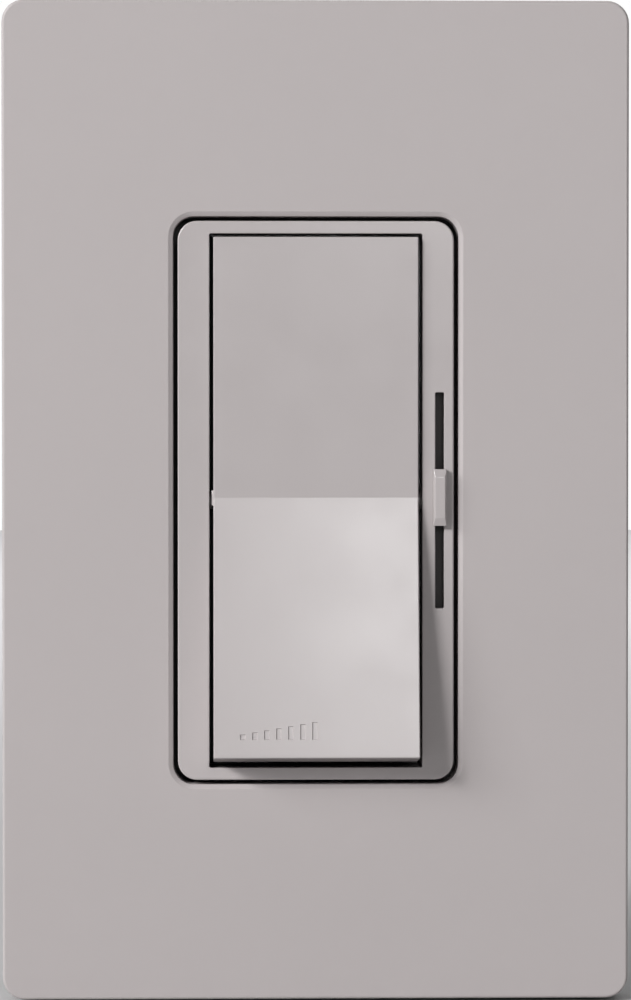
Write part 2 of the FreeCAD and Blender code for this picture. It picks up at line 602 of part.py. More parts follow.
def trim_dial():
    """The thumbwheel that sets the lowest light level: a notched disc with a slot and a shaft."""
    disc = rod_y(TRIM_R, TRIM_X, TRIM_Z, -1.35, -0.25)
    teeth = 30
    for i in range(teeth):
        a = 2 * math.pi * i / teeth
        disc = disc.cut(rod_y(0.28, TRIM_X + TRIM_R * math.cos(a), TRIM_Z + TRIM_R * math.sin(a), -2, 0))
    disc = disc.cut(box((TRIM_X + 2.4, TRIM_X + 4.2), (-1.4, -0.9), (TRIM_Z - 0.35, TRIM_Z + 0.35)))
    return join(disc, rod_y(1.5, TRIM_X, TRIM_Z, -0.25, 7.6))


def trim_pot():
    """The square trimmer potentiometer under the dial."""
    body = slab(7.0, 7.0, 0.6, (7.0, BOARD_FRONT), TRIM_X, TRIM_Z)
    return body.cut(rod_y(1.55, TRIM_X, TRIM_Z, 6, 9))


# ---- power components ------------------------------------------------------------------------


def triac():
    """The power triac: a metal tab and a moulded body."""
    tab = box((TRIAC_X - 5.0, TRIAC_X + 5.0), (0.32, 1.6), (-24.4, -8.9))
    body = box((TRIAC_X - 5.1, TRIAC_X + 5.1), (0.34, 4.8), (-24.5, -15.3))
    body = body.makeFillet(0.3, front_edges(body, 4.8))
    return join(tab.cut(body), body).cut(rod_y(1.75, TRIAC_X, TRIAC_RIVET_Z, -1, 3))


def triac_leads():
    """The triac's three leads, bent back to the board."""
    leads = []
    for i in (-1, 0, 1):
        x = TRIAC_X + 2.54 * i
        flat = box((x - 0.4, x + 0.4), (2.8, 3.3), (-26.6, -24.5))
        down = box((x - 0.4, x + 0.4), (2.8, 14.2), (-27.1, -26.6))
        leads.append(join(flat, down))
    return leads


def triac_pad():
    """The insulating pad between the triac's tab and the yoke."""
    pad = box((TRIAC_X - 5.6, TRIAC_X + 5.6), (0.02, 0.3), (-25.4, -8.5))
    return pad.cut(rod_y(1.75, TRIAC_X, TRIAC_RIVET_Z, -1, 1))


def triac_rivet():
    """The flush rivet that clamps the triac to the yoke."""
    flush = cone_y(2.5, 1.5, TRIAC_X, TRIAC_RIVET_Z, YOKE_FRONT + 0.05, YOKE_FRONT + 1.05)
    shank = rod_y(1.5, TRIAC_X, TRIAC_RIVET_Z, YOKE_FRONT + 1.0, 1.65)
    return join(flush, shank, cone_y(2.6, 2.0, TRIAC_X, TRIAC_RIVET_Z, 1.65, 2.5))


CHOKE_X, CHOKE_Z, CHOKE_Y = 2.2, 15.0, 19.6
CHOKE_R, CHOKE_BORE, CHOKE_HALF = 9.2, 5.4, 3.4


def choke_ring(grow=0.0):
    """The choke's ring, grown on all sides."""
    y0, y1 = CHOKE_Y - CHOKE_HALF - grow, CHOKE_Y + CHOKE_HALF + grow
    outer = rod_y(CHOKE_R + grow, CHOKE_X, CHOKE_Z, y0, y1)
    return outer.cut(rod_y(CHOKE_BORE - grow, CHOKE_X, CHOKE_Z, y0 - 1, y1 + 1))


def choke_core():
    """The choke's iron powder ring."""
    return choke_ring()


def choke_winding():
    """The copper winding as the sleeve that its turns fill, open over a short sector."""
    wire = 1.3
    sleeve = choke_ring(wire)
    sector = box((CHOKE_X - 2.2, CHOKE_X + 2.2), (0, 30), (CHOKE_Z, CHOKE_Z + 14))
    return sleeve.cut([choke_ring(FIT), sector])


def choke_base():
    """The plastic header that stands the choke on the board."""
    return slab(17.0, 18.0, 2.0, (BOARD_BACK, CHOKE_Y - CHOKE_HALF - 1.4), CHOKE_X, CHOKE_Z)


def film_capacitor():
    """The boxed interference capacitor."""
    body = box((-9.0, 9.0), (BOARD_BACK, 27.0), (-9.6, -1.2))
    return body.makeFillet(0.5, front_edges(body, 27.0))


def smoothing_capacitor():
    """The can capacitor with its crimped groove."""
    can = rod_y(4.1, -6.5, -18.0, BOARD_BACK, 25.0)
    can = can.makeFillet(0.5, front_edges(can, 25.0))
    groove = rod_y(4.5, -6.5, -18.0, 14.6, 15.2).cut(rod_y(3.75, -6.5, -18.0, 14, 16))
    return can.cut(groove)


def varistor():
    """The surge disc, standing on its edge."""
    disc = rod(4.9, (5.5, 19.2, -19.6), (5.5, 19.2, -16.2))
    rims = [e for e in disc.Edges if e.Closed and len(e.Vertexes) == 1]
    return disc.makeFillet(1.2, rims)


AXIAL_X = -13.1
RESISTOR_Y, RESISTOR_LENGTH, RESISTOR_Z = 10.1, 6.2, (5.4, 8.6, 16.0, 19.4)
DIAC_Y, DIAC_LENGTH, DIAC_Z = 10.5, 3.8, 25.5
LEAD_R, LEAD_REACH = 0.3, 2.0
PINS = [(-7.5, -5.4), (7.5, -5.4), (-8.5, -18.0), (-4.5, -18.0), (3.0, -17.9), (8.0, -17.9)]


def resistors():
    """Four axial resistors on the front of the board, with fuller ends than middles."""
    bodies = []
    for z in RESISTOR_Z:
        ends = [AXIAL_X - RESISTOR_LENGTH / 2, AXIAL_X + RESISTOR_LENGTH / 2]
        core = rod(1.15, (ends[0], RESISTOR_Y, z), (ends[1], RESISTOR_Y, z))
        caps = [rod(1.3, (ends[0], RESISTOR_Y, z), (ends[0] + 1.4, RESISTOR_Y, z))]
        caps.append(rod(1.3, (ends[1] - 1.4, RESISTOR_Y, z), (ends[1], RESISTOR_Y, z)))
        bodies.append(join(core, *caps))
    return bodies


def diac():
    """The glass trigger diode."""
    half = DIAC_LENGTH / 2
    return rod(0.85, (AXIAL_X - half, DIAC_Y, DIAC_Z), (AXIAL_X + half, DIAC_Y, DIAC_Z))


def axial_leads():
    """The start and bend of each axial component's lead, as (x at the body, x at the bend, y, z)."""
    rows = [(RESISTOR_Y, z, RESISTOR_LENGTH / 2) for z in RESISTOR_Z] + [(DIAC_Y, DIAC_Z, DIAC_LENGTH / 2)]
    return [
        (AXIAL_X + side * half, AXIAL_X + side * (half + LEAD_REACH), y, z)
        for y, z, half in rows
        for side in (-1, 1)
    ]


def component_leads():
    """Bent leads of the axial components, and straight pins of those standing on the back of the board."""
    wires = []
    for start, bend, y, z in axial_leads():
        run = rod(LEAD_R, (start, y, z), (bend, y, z))
        elbow = Part.makeSphere(LEAD_R, Vector(bend, y, z))
        wires.append(join(run, elbow, rod_y(LEAD_R, bend, z, y, BOARD_BACK + 0.8)))
    disc = varistor()
    for x, z in PINS:
        top = BOARD_BACK if z != PINS[-1][1] else 17.0
        wires.append(rod_y(0.4, x, z, BOARD_FRONT - 0.6, top).cut(disc))
    return wires


# ---- build -----------------------------------------------------------------------------------


def build():
    os.makedirs("parts", exist_ok=True)
    write("wallplate_cover", wallplate_cover())
    write("wallplate_adapter", wallplate_adapter())
    write("adapter_screws", *adapter_screws())
    write("bezel", bezel())
    write("bezel_seal", bezel_seal())
    write("well_film", well_film())
    write("paddle", paddle())
    write("paddle_plunger", paddle_plunger())
    write("paddle_spring", paddle_spring())
    write("slider_knob", slider_knob())
    write("dust_shutter", dust_shutter())
    write("yoke", yoke())
    write("mounting_screws", *mounting_screws())
    write("screw_retainers", *screw_retainers())
    write("ground_screw", ground_screw())
    write("ground_clamp", ground_clamp())
    write("back_case", back_case())
    write("case_screws", *case_screws())
    write("insulator_sheet", insulator_sheet())
    write("circuit_board", circuit_board())
    for name, (side, z) in TERMINALS.items():
        write(f"{name}_plate", terminal_plate(side, z))
    screws = {name: terminal_screw(side, z) for name, (side, z) in TERMINALS.items()}
    write("common_screw", screws["common"])
    write("traveller_screws", screws["traveller_upper"], screws["traveller_lower"])
    write("wire_clamps", *[wire_clamp(side, z) for side, z in TERMINALS.values()])
    write("contact_rocker", contact_rocker())
    write("rocker_buttons", *rocker_buttons())
    write("common_bracket", common_bracket())
    write("upper_contact", traveller_contact(1))
    write("lower_contact", traveller_contact(-1))
    write("fixed_buttons", *fixed_buttons())
    write("slide_pot_case", slide_pot_case())
    write("slide_pot_track", slide_pot_track())
    write("slide_pot_wiper", slide_pot_wiper())
    write("slide_pot_brush", slide_pot_brush())
    write("trim_dial", trim_dial())
    write("trim_pot", trim_pot())
    write("triac", triac())
    write("triac_leads", *triac_leads())
    write("triac_pad", triac_pad())
    write("triac_rivet", triac_rivet())
    write("choke_core", choke_core())
    write("choke_winding", choke_winding())
    write("choke_base", choke_base())
    write("film_capacitor", film_capacitor())
    write("smoothing_capacitor", smoothing_capacitor())
    write("varistor", varistor())
    write("resistors", *resistors())
    write("diac", diac())
    write("component_leads", *component_leads())


build()
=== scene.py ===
"""Looks of the wall dimmer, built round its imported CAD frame."""

import json
import math

import bmesh
import bpy
from mathutils import Matrix, Vector


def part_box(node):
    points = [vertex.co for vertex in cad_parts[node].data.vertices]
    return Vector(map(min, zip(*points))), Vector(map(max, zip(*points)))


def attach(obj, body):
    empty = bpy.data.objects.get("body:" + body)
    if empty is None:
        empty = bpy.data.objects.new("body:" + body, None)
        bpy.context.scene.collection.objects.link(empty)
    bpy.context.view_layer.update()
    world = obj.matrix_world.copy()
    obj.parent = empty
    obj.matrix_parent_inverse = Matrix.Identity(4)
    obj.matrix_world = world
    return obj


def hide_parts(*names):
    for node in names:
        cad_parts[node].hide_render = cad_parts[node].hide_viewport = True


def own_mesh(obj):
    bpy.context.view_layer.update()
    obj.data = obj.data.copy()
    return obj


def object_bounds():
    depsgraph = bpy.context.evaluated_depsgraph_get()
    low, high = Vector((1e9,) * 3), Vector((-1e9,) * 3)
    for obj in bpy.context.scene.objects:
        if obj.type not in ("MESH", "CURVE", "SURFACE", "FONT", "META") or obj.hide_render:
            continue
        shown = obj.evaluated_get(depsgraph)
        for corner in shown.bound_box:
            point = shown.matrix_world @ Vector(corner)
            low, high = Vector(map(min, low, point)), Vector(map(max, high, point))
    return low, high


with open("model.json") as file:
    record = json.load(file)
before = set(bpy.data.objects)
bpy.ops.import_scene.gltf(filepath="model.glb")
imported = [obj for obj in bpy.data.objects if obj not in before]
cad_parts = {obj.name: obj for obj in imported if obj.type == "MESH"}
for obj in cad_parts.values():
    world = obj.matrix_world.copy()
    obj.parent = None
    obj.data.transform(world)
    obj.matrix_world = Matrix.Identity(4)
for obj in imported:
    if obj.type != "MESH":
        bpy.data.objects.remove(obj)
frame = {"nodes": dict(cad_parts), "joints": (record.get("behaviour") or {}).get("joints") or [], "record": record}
cad_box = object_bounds()
NODES = frame["nodes"]
JOINTS = {joint["name"]: joint for joint in frame["joints"]}
MM = 0.001

BRUSH_DEPTH = 0.000012
WELD_DISTANCE, EDGE_WIDTH = 0.0000005, 0.00012
SHARP_ANGLE = 35


def node_box(name):
    """Lowest and highest corner of a CAD node, in millimetres."""
    return [Vector(corner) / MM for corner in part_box(name)]


def node_centre(name):
    """Middle of a CAD node's box, in millimetres."""
    low, high = node_box(name)
    return (low + high) / 2


# ---- materials -----------------------------------------------------------------------------------


class Shader:
    """A node material with one Principled shader, and short calls for the nodes that feed it."""

    def __init__(self, name, roughness=0.4, metallic=0.0, specular=0.5, **sockets):
        self.material = bpy.data.materials.new(name)
        self.material.use_nodes = True
        self.tree = self.material.node_tree
        self.tree.nodes.clear()
        self.out = self.tree.nodes.new("ShaderNodeOutputMaterial")
        self.bsdf = self.tree.nodes.new("ShaderNodeBsdfPrincipled")
        self.link(self.bsdf.outputs["BSDF"], self.out.inputs["Surface"])
        self.bsdf.inputs["Roughness"].default_value = roughness
        self.bsdf.inputs["Metallic"].default_value = metallic
        self.bsdf.inputs["Specular IOR Level"].default_value = specular
        for key, value in sockets.items():
            self.bsdf.inputs[key.replace("_", " ")].default_value = value
        self.coords = self.node("ShaderNodeTexCoord").outputs["Object"]

    def node(self, kind, **settings):
        """A new node with the given settings."""
        made = self.tree.nodes.new(kind)
        for key, value in settings.items():
            setattr(made, key, value)
        return made

    def link(self, source, target):
        self.tree.links.new(source, target)

    def stretched(self, scale, rotation=(0, 0, 0)):
        """Object coordinates scaled by three factors and turned."""
        mapping = self.node("ShaderNodeMapping")
        mapping.inputs["Scale"].default_value = scale
        mapping.inputs["Rotation"].default_value = rotation
        self.link(self.coords, mapping.inputs["Vector"])
        return mapping.outputs["Vector"]

    def noise(self, scale, detail=3.0, roughness=0.5, vector=None):
        """Noise over the object's coordinates, or over another vector."""
        made = self.node("ShaderNodeTexNoise")
        made.inputs["Scale"].default_value = scale
        made.inputs["Detail"].default_value = detail
        made.inputs["Roughness"].default_value = roughness
        self.link(vector or self.coords, made.inputs["Vector"])
        return made.outputs["Fac"]

    def ramp(self, source, stops):
        """A colour ramp. Stops are (position, colour)."""
        made = self.node("ShaderNodeValToRGB")
        ramp = made.color_ramp
        while len(ramp.elements) < len(stops):
            ramp.elements.new(0.5)
        for element, (position, colour) in zip(ramp.elements, stops):
            element.position = position
            element.color = (*colour, 1.0)
        self.link(source, made.inputs["Fac"])
        return made.outputs["Color"]

    def levels(self, source, low, high, from_low=0.3, from_high=0.7):
        """The source mapped to between two values."""
        made = self.node("ShaderNodeMapRange")
        made.inputs["From Min"].default_value = from_low
        made.inputs["From Max"].default_value = from_high
        made.inputs["To Min"].default_value = low
        made.inputs["To Max"].default_value = high
        self.link(source, made.inputs["Value"])
        return made.outputs["Result"]

    def colour(self, source):
        self.link(source, self.bsdf.inputs["Base Color"])

    def rough(self, source):
        self.link(source, self.bsdf.inputs["Roughness"])

    def bump(self, layers):
        """Bump layers, each (height source, distance in metres, strength)."""
        normal = None
        for height, distance, strength in layers:
            made = self.node("ShaderNodeBump")
            made.inputs["Distance"].default_value = distance
            made.inputs["Strength"].default_value = strength
            self.link(height, made.inputs["Height"])
            if normal:
                self.link(normal, made.inputs["Normal"])
            normal = made.outputs["Normal"]
        self.link(normal, self.bsdf.inputs["Normal"])


def tint(colour, factor):
    """A colour made lighter or darker."""
    return tuple(min(1.0, c * factor) for c in colour)


def plastic(name, colour, roughness, grain=0.00002, mottle=0.02, specular=0.5, fine=2600, **sockets):
    """Moulded plastic: a fine spark texture, a slight mottle and slightly uneven gloss."""
    s = Shader(name, roughness, specular=specular, **sockets)
    cloud = s.noise(55, 4, 0.55)
    s.colour(s.ramp(cloud, [(0.3, tint(colour, 1 - mottle)), (0.7, tint(colour, 1 + mottle))]))
    s.rough(s.levels(s.noise(140, 3), roughness - 0.03, roughness + 0.04))
    s.bump([(s.noise(fine, 2), grain, 0.35), (s.noise(420, 2), grain * 2, 0.12)])
    return s.material


def metal(name, colour, roughness, brush=(1, 1, 1), brushed=0.3, dull=0.06):
    """Metal with fine brushing, drawn out along the axes with small brush factors, and slight tarnish."""
    s = Shader(name, roughness, 1.0)
    lines = s.noise(1.0, 4, 0.65, s.stretched(tuple(900 * b for b in brush)))
    cloud = s.noise(110, 4, 0.6)
    s.colour(s.ramp(cloud, [(0.3, tint(colour, 1 - dull)), (0.7, tint(colour, 1 + dull / 2))]))
    s.rough(s.levels(lines, roughness - 0.09, roughness + 0.12))
    s.bump([(lines, BRUSH_DEPTH, brushed), (s.noise(260, 3), 0.00002, 0.08)])
    return s.material


def banded(name, colour, bands, low, high):
    """Coated resistor with bands across X, as (start, end, colour), between two places in metres."""
    s = Shader(name, 0.4)
    parts = s.node("ShaderNodeSeparateXYZ")
    s.link(s.coords, parts.inputs["Vector"])
    share = s.levels(parts.outputs["X"], 0.0, 1.0, low, high)
    stops = [(0.0, colour)]
    for start, end, paint in bands:
        stops += [(start, paint), (end, colour)]
    made = s.ramp(share, stops)
    made.node.color_ramp.interpolation = "CONSTANT"
    s.colour(made)
    s.rough(s.levels(s.noise(300, 3), 0.32, 0.48))
    s.bump([(s.noise(700, 2), 0.00003, 0.2)])
    return s.material


def board(name, mask, track):
    """Circuit board: wide tracks under a glossy solder mask."""
    s = Shader(name, 0.3)
    cells = s.node("ShaderNodeTexBrick", offset=0.37, squash=1.0)
    sizes = {"Scale": 90.0, "Mortar Size": 0.035, "Brick Width": 0.9, "Row Height": 0.42}
    for socket, value in sizes.items():
        cells.inputs[socket].default_value = value
    s.link(s.stretched((1, 1, 1), (math.radians(90), 0, 0)), cells.inputs["Vector"])
    gap = cells.outputs["Fac"]
    s.colour(s.ramp(gap, [(0.2, track), (0.8, mask)]))
    s.rough(s.levels(s.noise(200, 3), 0.24, 0.36))
    s.bump([(gap, -0.00004, 0.6), (s.noise(1500, 2), 0.00001, 0.2)])
    return s.material


def fibre(name, colour):
    """Pressed fibre sheet: short dark and light flecks."""
    s = Shader(name, 0.8, specular=0.25)
    flecks = s.noise(900, 5, 0.8, s.stretched((1, 1, 0.4)))
    s.colour(s.ramp(flecks, [(0.35, tint(colour, 0.65)), (0.65, tint(colour, 1.25))]))
    s.rough(s.levels(flecks, 0.7, 0.9))
    s.bump([(flecks, 0.00004, 0.5)])
    return s.material


WARM_GREY = (0.478, 0.440, 0.440)
BANDS = (
    (0.14, 0.22, (0.30, 0.03, 0.01)),
    (0.34, 0.42, (0.01, 0.01, 0.01)),
    (0.50, 0.58, (0.60, 0.16, 0.01)),
    (0.80, 0.88, (0.55, 0.36, 0.06)),
)

MATERIALS = {
    "device_plastic": plastic("device_plastic", WARM_GREY, 0.22, 0.000004, 0.006, 0.9),
    "plate_plastic": plastic("plate_plastic", WARM_GREY, 0.48, 0.000008, 0.006, 0.3),
    "adapter_plastic": plastic("adapter_plastic", tint(WARM_GREY, 0.95), 0.55, 0.00003, 0.02),
    "case_plastic": plastic("case_plastic", (0.028, 0.028, 0.030), 0.5, 0.00005, 0.1, 0.5, 1500),
    "shutter_plastic": plastic("shutter_plastic", (0.035, 0.033, 0.032), 0.55, 0.00003, 0.1),
    "mechanism_plastic": plastic("mechanism_plastic", (0.72, 0.70, 0.64), 0.42, 0.00002, 0.03),
    "pot_plastic": plastic("pot_plastic", (0.02, 0.02, 0.022), 0.45, 0.00003, 0.12),
    "dial_plastic": plastic("dial_plastic", (0.80, 0.20, 0.03), 0.42, 0.00002, 0.04),
    "yoke_metal": metal("yoke_metal", (0.72, 0.72, 0.73), 0.36, (1, 1, 0.03), 0.35),
    "zinc_steel": metal("zinc_steel", (0.62, 0.62, 0.60), 0.30, (1, 1, 1), 0.15),
    "spring_steel": metal("spring_steel", (0.50, 0.50, 0.50), 0.28, (1, 1, 1), 0.1),
    "tinned_wire": metal("tinned_wire", (0.66, 0.66, 0.65), 0.25, (1, 1, 1), 0.1),
    "brass": metal("brass", (0.80, 0.58, 0.25), 0.27, (1, 1, 1), 0.15, 0.1),
    "silver_alloy": metal("silver_alloy", (0.85, 0.84, 0.81), 0.2, (1, 1, 1), 0.1),
    "black_oxide": metal("black_oxide", (0.045, 0.045, 0.05), 0.4, (1, 1, 1), 0.15, 0.2),
    "green_metal": metal("green_metal", (0.03, 0.22, 0.08), 0.34, (1, 1, 1), 0.15, 0.15),
    "fibre": fibre("fibre", (0.085, 0.065, 0.05)),
    "retainer_fibre": fibre("retainer_fibre", (0.42, 0.26, 0.13)),
    "track_card": fibre("track_card", (0.05, 0.045, 0.04)),
    "board_laminate": board("board_laminate", (0.012, 0.085, 0.03), (0.03, 0.17, 0.06)),
    "thermal_pad": plastic("thermal_pad", (0.52, 0.52, 0.54), 0.6, 0.00004, 0.05),
    "semiconductor": plastic("semiconductor", (0.018, 0.018, 0.018), 0.5, 0.00004, 0.12),
    "ferrite": plastic("ferrite", (0.72, 0.50, 0.05), 0.45, 0.00005, 0.08),
    "copper_wire": metal("copper_wire", (0.62, 0.20, 0.07), 0.25, (1, 1, 1), 0.1, 0.12),
    "film_box": plastic("film_box", (0.55, 0.40, 0.06), 0.35, 0.00002, 0.05),
    "capacitor_sleeve": plastic("capacitor_sleeve", (0.015, 0.03, 0.12), 0.25, 0.00001, 0.08),
    "varistor_coat": plastic("varistor_coat", (0.012, 0.07, 0.28), 0.3, 0.00003, 0.08),
    "resistor_coat": banded("resistor_coat", (0.50, 0.32, 0.15), BANDS, -0.0162, -0.0100),
    "diode_glass": plastic("diode_glass", (0.60, 0.22, 0.08), 0.12, 0.000005, 0.08),
}

for part in frame["record"]["subparts"]:
    node = NODES[part["node"]]
    node.data.materials.clear()
    node.data.materials.append(MATERIALS[part["material_slot"]])
    weld = node.modifiers.new("weld", "WELD")
    weld.merge_threshold = WELD_DISTANCE
    edge = node.modifiers.new("edge", "BEVEL")
    edge.width = EDGE_WIDTH
    edge.segments = 2
    edge.limit_method = "ANGLE"
    edge.angle_limit = math.radians(SHARP_ANGLE)
    normals = node.modifiers.new("normals", "WEIGHTED_NORMAL")
    normals.keep_sharp = True

# ---- mesh kit ------------------------------------------------------------------------------------


class Solid:
    """A mesh under construction, in millimetres."""

    def __init__(self):
        self.bm = bmesh.new()

    def ring(self, points):
        """New vertices at the points."""
        return [self.bm.verts.new(p) for p in points]

    def bridge(self, a, b, skip=()):
        """Quads between two rings of the same length, less the skipped ones."""
        for i in range(len(a)):
            if i not in skip:
                j = (i + 1) % len(a)
                self.bm.faces.new((a[i], a[j], b[j], b[i]))

    def loft(self, outlines, closed=False):
        """A skin through outlines of the same length, either closed on itself or capped."""
        rings = [self.ring(outline) for outline in outlines]
        for a, b in zip(rings, rings[1:]):
            self.bridge(a, b)
        if closed:
            self.bridge(rings[-1], rings[0])
        else:
            self.bm.faces.new(rings[0])
            self.bm.faces.new(rings[-1])

    def fill(self, *rings):
        """A flat face inside the first ring and outside the others."""
        edges = []
        for ring in rings:
            for a, b in zip(ring, ring[1:] + ring[:1]):
                edges.append(self.bm.edges.get((a, b)) or self.bm.edges.new((a, b)))
        bmesh.ops.triangle_fill(self.bm, use_beauty=True, edges=edges)

    def block(self, x, y, z, round_by=0.1, steps=2):
        """A block between pairs of values, with rounded edges."""
        size = [high - low for low, high in (x, y, z)]
        centre = [(low + high) / 2 for low, high in (x, y, z)]
        place = Matrix.Translation(centre) @ Matrix.Diagonal((*size, 1))
        made = bmesh.ops.create_cube(self.bm, size=1.0, matrix=place)["verts"]
        edges = list(dict.fromkeys(e for v in made for e in v.link_edges))
        if round_by:
            bmesh.ops.bevel(self.bm, geom=edges, offset=round_by, segments=steps, profile=0.5, affect="EDGES")

    def prism_x(self, outline, x0, x1):
        """An outline of (y, z) points swept along X."""
        self.loft([[(x, y, z) for y, z in outline] for x in (x0, x1)])

    def bevel(self, edges, radius, steps=4):
        """Rounds edges. The faces are turned outwards first, because the bevel follows their normals."""
        bmesh.ops.recalc_face_normals(self.bm, faces=self.bm.faces)
        bmesh.ops.bevel(self.bm, geom=edges, offset=radius, segments=steps, profile=0.5, affect="EDGES")

    def mesh(self, name, place=None):
        """The finished mesh, in metres."""
        bm = self.bm
        bmesh.ops.recalc_face_normals(bm, faces=bm.faces)
        bmesh.ops.dissolve_limit(bm, angle_limit=0.0005, verts=[], edges=bm.edges)
        if place:
            bm.transform(place)
        bmesh.ops.scale(bm, vec=(MM, MM, MM), verts=bm.verts)
        made = bpy.data.meshes.new(name)
        bm.to_mesh(made)
        bm.free()
        return made


def piece(name, solid, material, body, replaces=(), place=None, cutters=(), sharp=SHARP_ANGLE):
    """A visible piece on a CAD body, cut by the cutters and shaded smooth up to the sharp angle."""
    obj = bpy.data.objects.new(name, solid.mesh(name, place))
    bpy.context.scene.collection.objects.link(obj)
    for cutter in cutters:
        tool = bpy.data.objects.new("tool", cutter.mesh("tool", place))
        bpy.context.scene.collection.objects.link(tool)
        cut = obj.modifiers.new("cut", "BOOLEAN")
        cut.operation, cut.solver, cut.object = "DIFFERENCE", "EXACT", tool
        graph = bpy.context.evaluated_depsgraph_get()
        carved = bpy.data.meshes.new_from_object(obj.evaluated_get(graph))
        obj.modifiers.clear()
        obj.data = carved
        bpy.data.objects.remove(tool)
    bm = bmesh.new()
    bm.from_mesh(obj.data)
    bmesh.ops.dissolve_degenerate(bm, dist=1e-8, edges=bm.edges)
    for face in bm.faces:
        face.smooth = True
    for edge in bm.edges:
        edge.smooth = edge.calc_face_angle(0) < math.radians(sharp)
    bm.to_mesh(obj.data)
    bm.free()
    obj.data.name = name
    obj.data.materials.clear()
    obj.data.materials.append(MATERIALS[material])
    normals = obj.modifiers.new("normals", "WEIGHTED_NORMAL")
    normals.keep_sharp = True
    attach(obj, body)
    if replaces:
        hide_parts(*replaces)
    return obj


WIRE_SIDES = 8


def frame_ring(w, h, r, y, x=0.0, z=0.0, steps=8):
    """A rounded rectangle at depth y, anticlockwise from the right edge as seen from the front."""
    points = []
    for corner, (sx, sz) in enumerate(((1, 1), (-1, 1), (-1, -1), (1, -1))):
        for i in range(steps + 1):
            a = math.radians(90 * (corner + i / steps))
            points.append((x + sx * (w / 2 - r) + r * math.cos(a), y, z + sz * (h / 2 - r) + r * math.sin(a)))
    return points


def round_over(w, h, r, y, radius, side, x=0.0, z=0.0, steps=4, corner_steps=8):
    """Rings that round an edge, from the face at y back to the wall of size w by h.

    Side is -1 for a rim whose face is inside the wall, and 1 for a mouth whose face is outside it.
    """
    rings = []
    for i in range(steps + 1):
        a = math.radians(90 * i / steps)
        grow = side * radius * (1 - math.sin(a))
        depth = y + radius * (1 - math.cos(a))
        rings.append(frame_ring(w + 2 * grow, h + 2 * grow, r + grow, depth, x, z, corner_steps))
    return rings


def circle(radius, centre, axis="y", count=24):
    """A circle round an axis direction."""
    points = []
    for i in range(count):
        a = 2 * math.pi * i / count
        u, v = radius * math.cos(a), radius * math.sin(a)
        points.append(Vector(centre) + Vector((u, 0, v) if axis == "y" else (0, u, v)))
    return points


def turned(solid, stations, centre=(0, 0, 0), axis="y", count=24, closed=False):
    """A turned body through stations of (distance along the axis, radius)."""
    along_axis = Vector((0, 1, 0) if axis == "y" else (1, 0, 0))
    outlines = []
    for along, radius in stations:
        outlines.append(circle(radius, Vector(centre) + along_axis * along, axis, count))
    solid.loft(outlines, closed)


def wire(solid, path, radius):
    """A round wire along a path of points."""
    rings = []
    across = None
    for i, point in enumerate(path):
        ahead = Vector(path[min(i + 1, len(path) - 1)]) - Vector(path[max(i - 1, 0)])
        ahead.normalize()
        across = ahead.orthogonal() if across is None else across - ahead * across.dot(ahead)
        across.normalize()
        beside = ahead.cross(across)
        turn = [2 * math.pi * k / WIRE_SIDES for k in range(WIRE_SIDES)]
        rings.append([Vector(point) + (across * math.cos(a) + beside * math.sin(a)) * radius for a in turn])
    solid.loft(rings)


# ---- wall plate ----------------------------------------------------------------------------------

low, high = node_box("wallplate_cover")
PLATE_W, PLATE_H = high.x - low.x, high.z - low.z
PLATE_FRONT, PLATE_BACK = low.y, high.y
WINDOW_W, WINDOW_H, WINDOW_R = 34.0, 67.7, 2.45
PLATE_R, PLATE_SKIN = 2.65, 1.8
inner_w, inner_h = PLATE_W - 2 * PLATE_SKIN, PLATE_H - 2 * PLATE_SKIN
skin_back, collar_back, collar = PLATE_FRONT + PLATE_SKIN, -3.4, 1.2
grown = 2 * collar

cover = Solid()
back_edge = round_over(PLATE_W, PLATE_H, PLATE_R, 0.0, 0.2, -1, steps=2)
outer = [[(x, PLATE_BACK - y, z) for x, y, z in ring] for ring in back_edge]
outer += round_over(PLATE_W, PLATE_H, PLATE_R, PLATE_FRONT, 0.35, -1, steps=5)[::-1]
LIP = ((0.62, 0.0), (0.57, 0.005), (0.52, 0.025), (0.10, 0.22), (0.04, 0.26), (0.01, 0.31), (0.0, 0.38))
mouth = []
for out, depth in LIP:
    mouth.append(frame_ring(WINDOW_W + 2 * out, WINDOW_H + 2 * out, WINDOW_R + out, PLATE_FRONT + depth))
collar_end = [
    frame_ring(WINDOW_W, WINDOW_H, WINDOW_R, collar_back - 0.15),
    frame_ring(WINDOW_W + 0.3, WINDOW_H + 0.3, WINDOW_R + 0.15, collar_back),
    frame_ring(WINDOW_W + grown - 0.3, WINDOW_H + grown - 0.3, WINDOW_R + collar - 0.15, collar_back),
    frame_ring(WINDOW_W + grown, WINDOW_H + grown, WINDOW_R + collar, collar_back - 0.15),
    frame_ring(WINDOW_W + grown, WINDOW_H + grown, WINDOW_R + collar, skin_back + 0.4),
    frame_ring(WINDOW_W + grown + 0.3, WINDOW_H + grown + 0.3, WINDOW_R + collar + 0.15, skin_back + 0.1),
    frame_ring(WINDOW_W + grown + 0.8, WINDOW_H + grown + 0.8, WINDOW_R + collar + 0.4, skin_back),
]
inside = [
    frame_ring(inner_w - 0.8, inner_h - 0.8, 0.8, skin_back),
    frame_ring(inner_w - 0.2, inner_h - 0.2, 1.1, skin_back + 0.15),
    frame_ring(inner_w, inner_h, 1.2, skin_back + 0.5),
    frame_ring(inner_w, inner_h, 1.2, PLATE_BACK - 0.2),
    frame_ring(inner_w + 0.3, inner_h + 0.3, 1.35, PLATE_BACK),
]
cover.loft([*outer, *mouth, *collar_end, *inside], closed=True)
RIB_Y, RIB_HALF, RIB_PROUD = (-3.2, -2.2), 5.0, 0.2
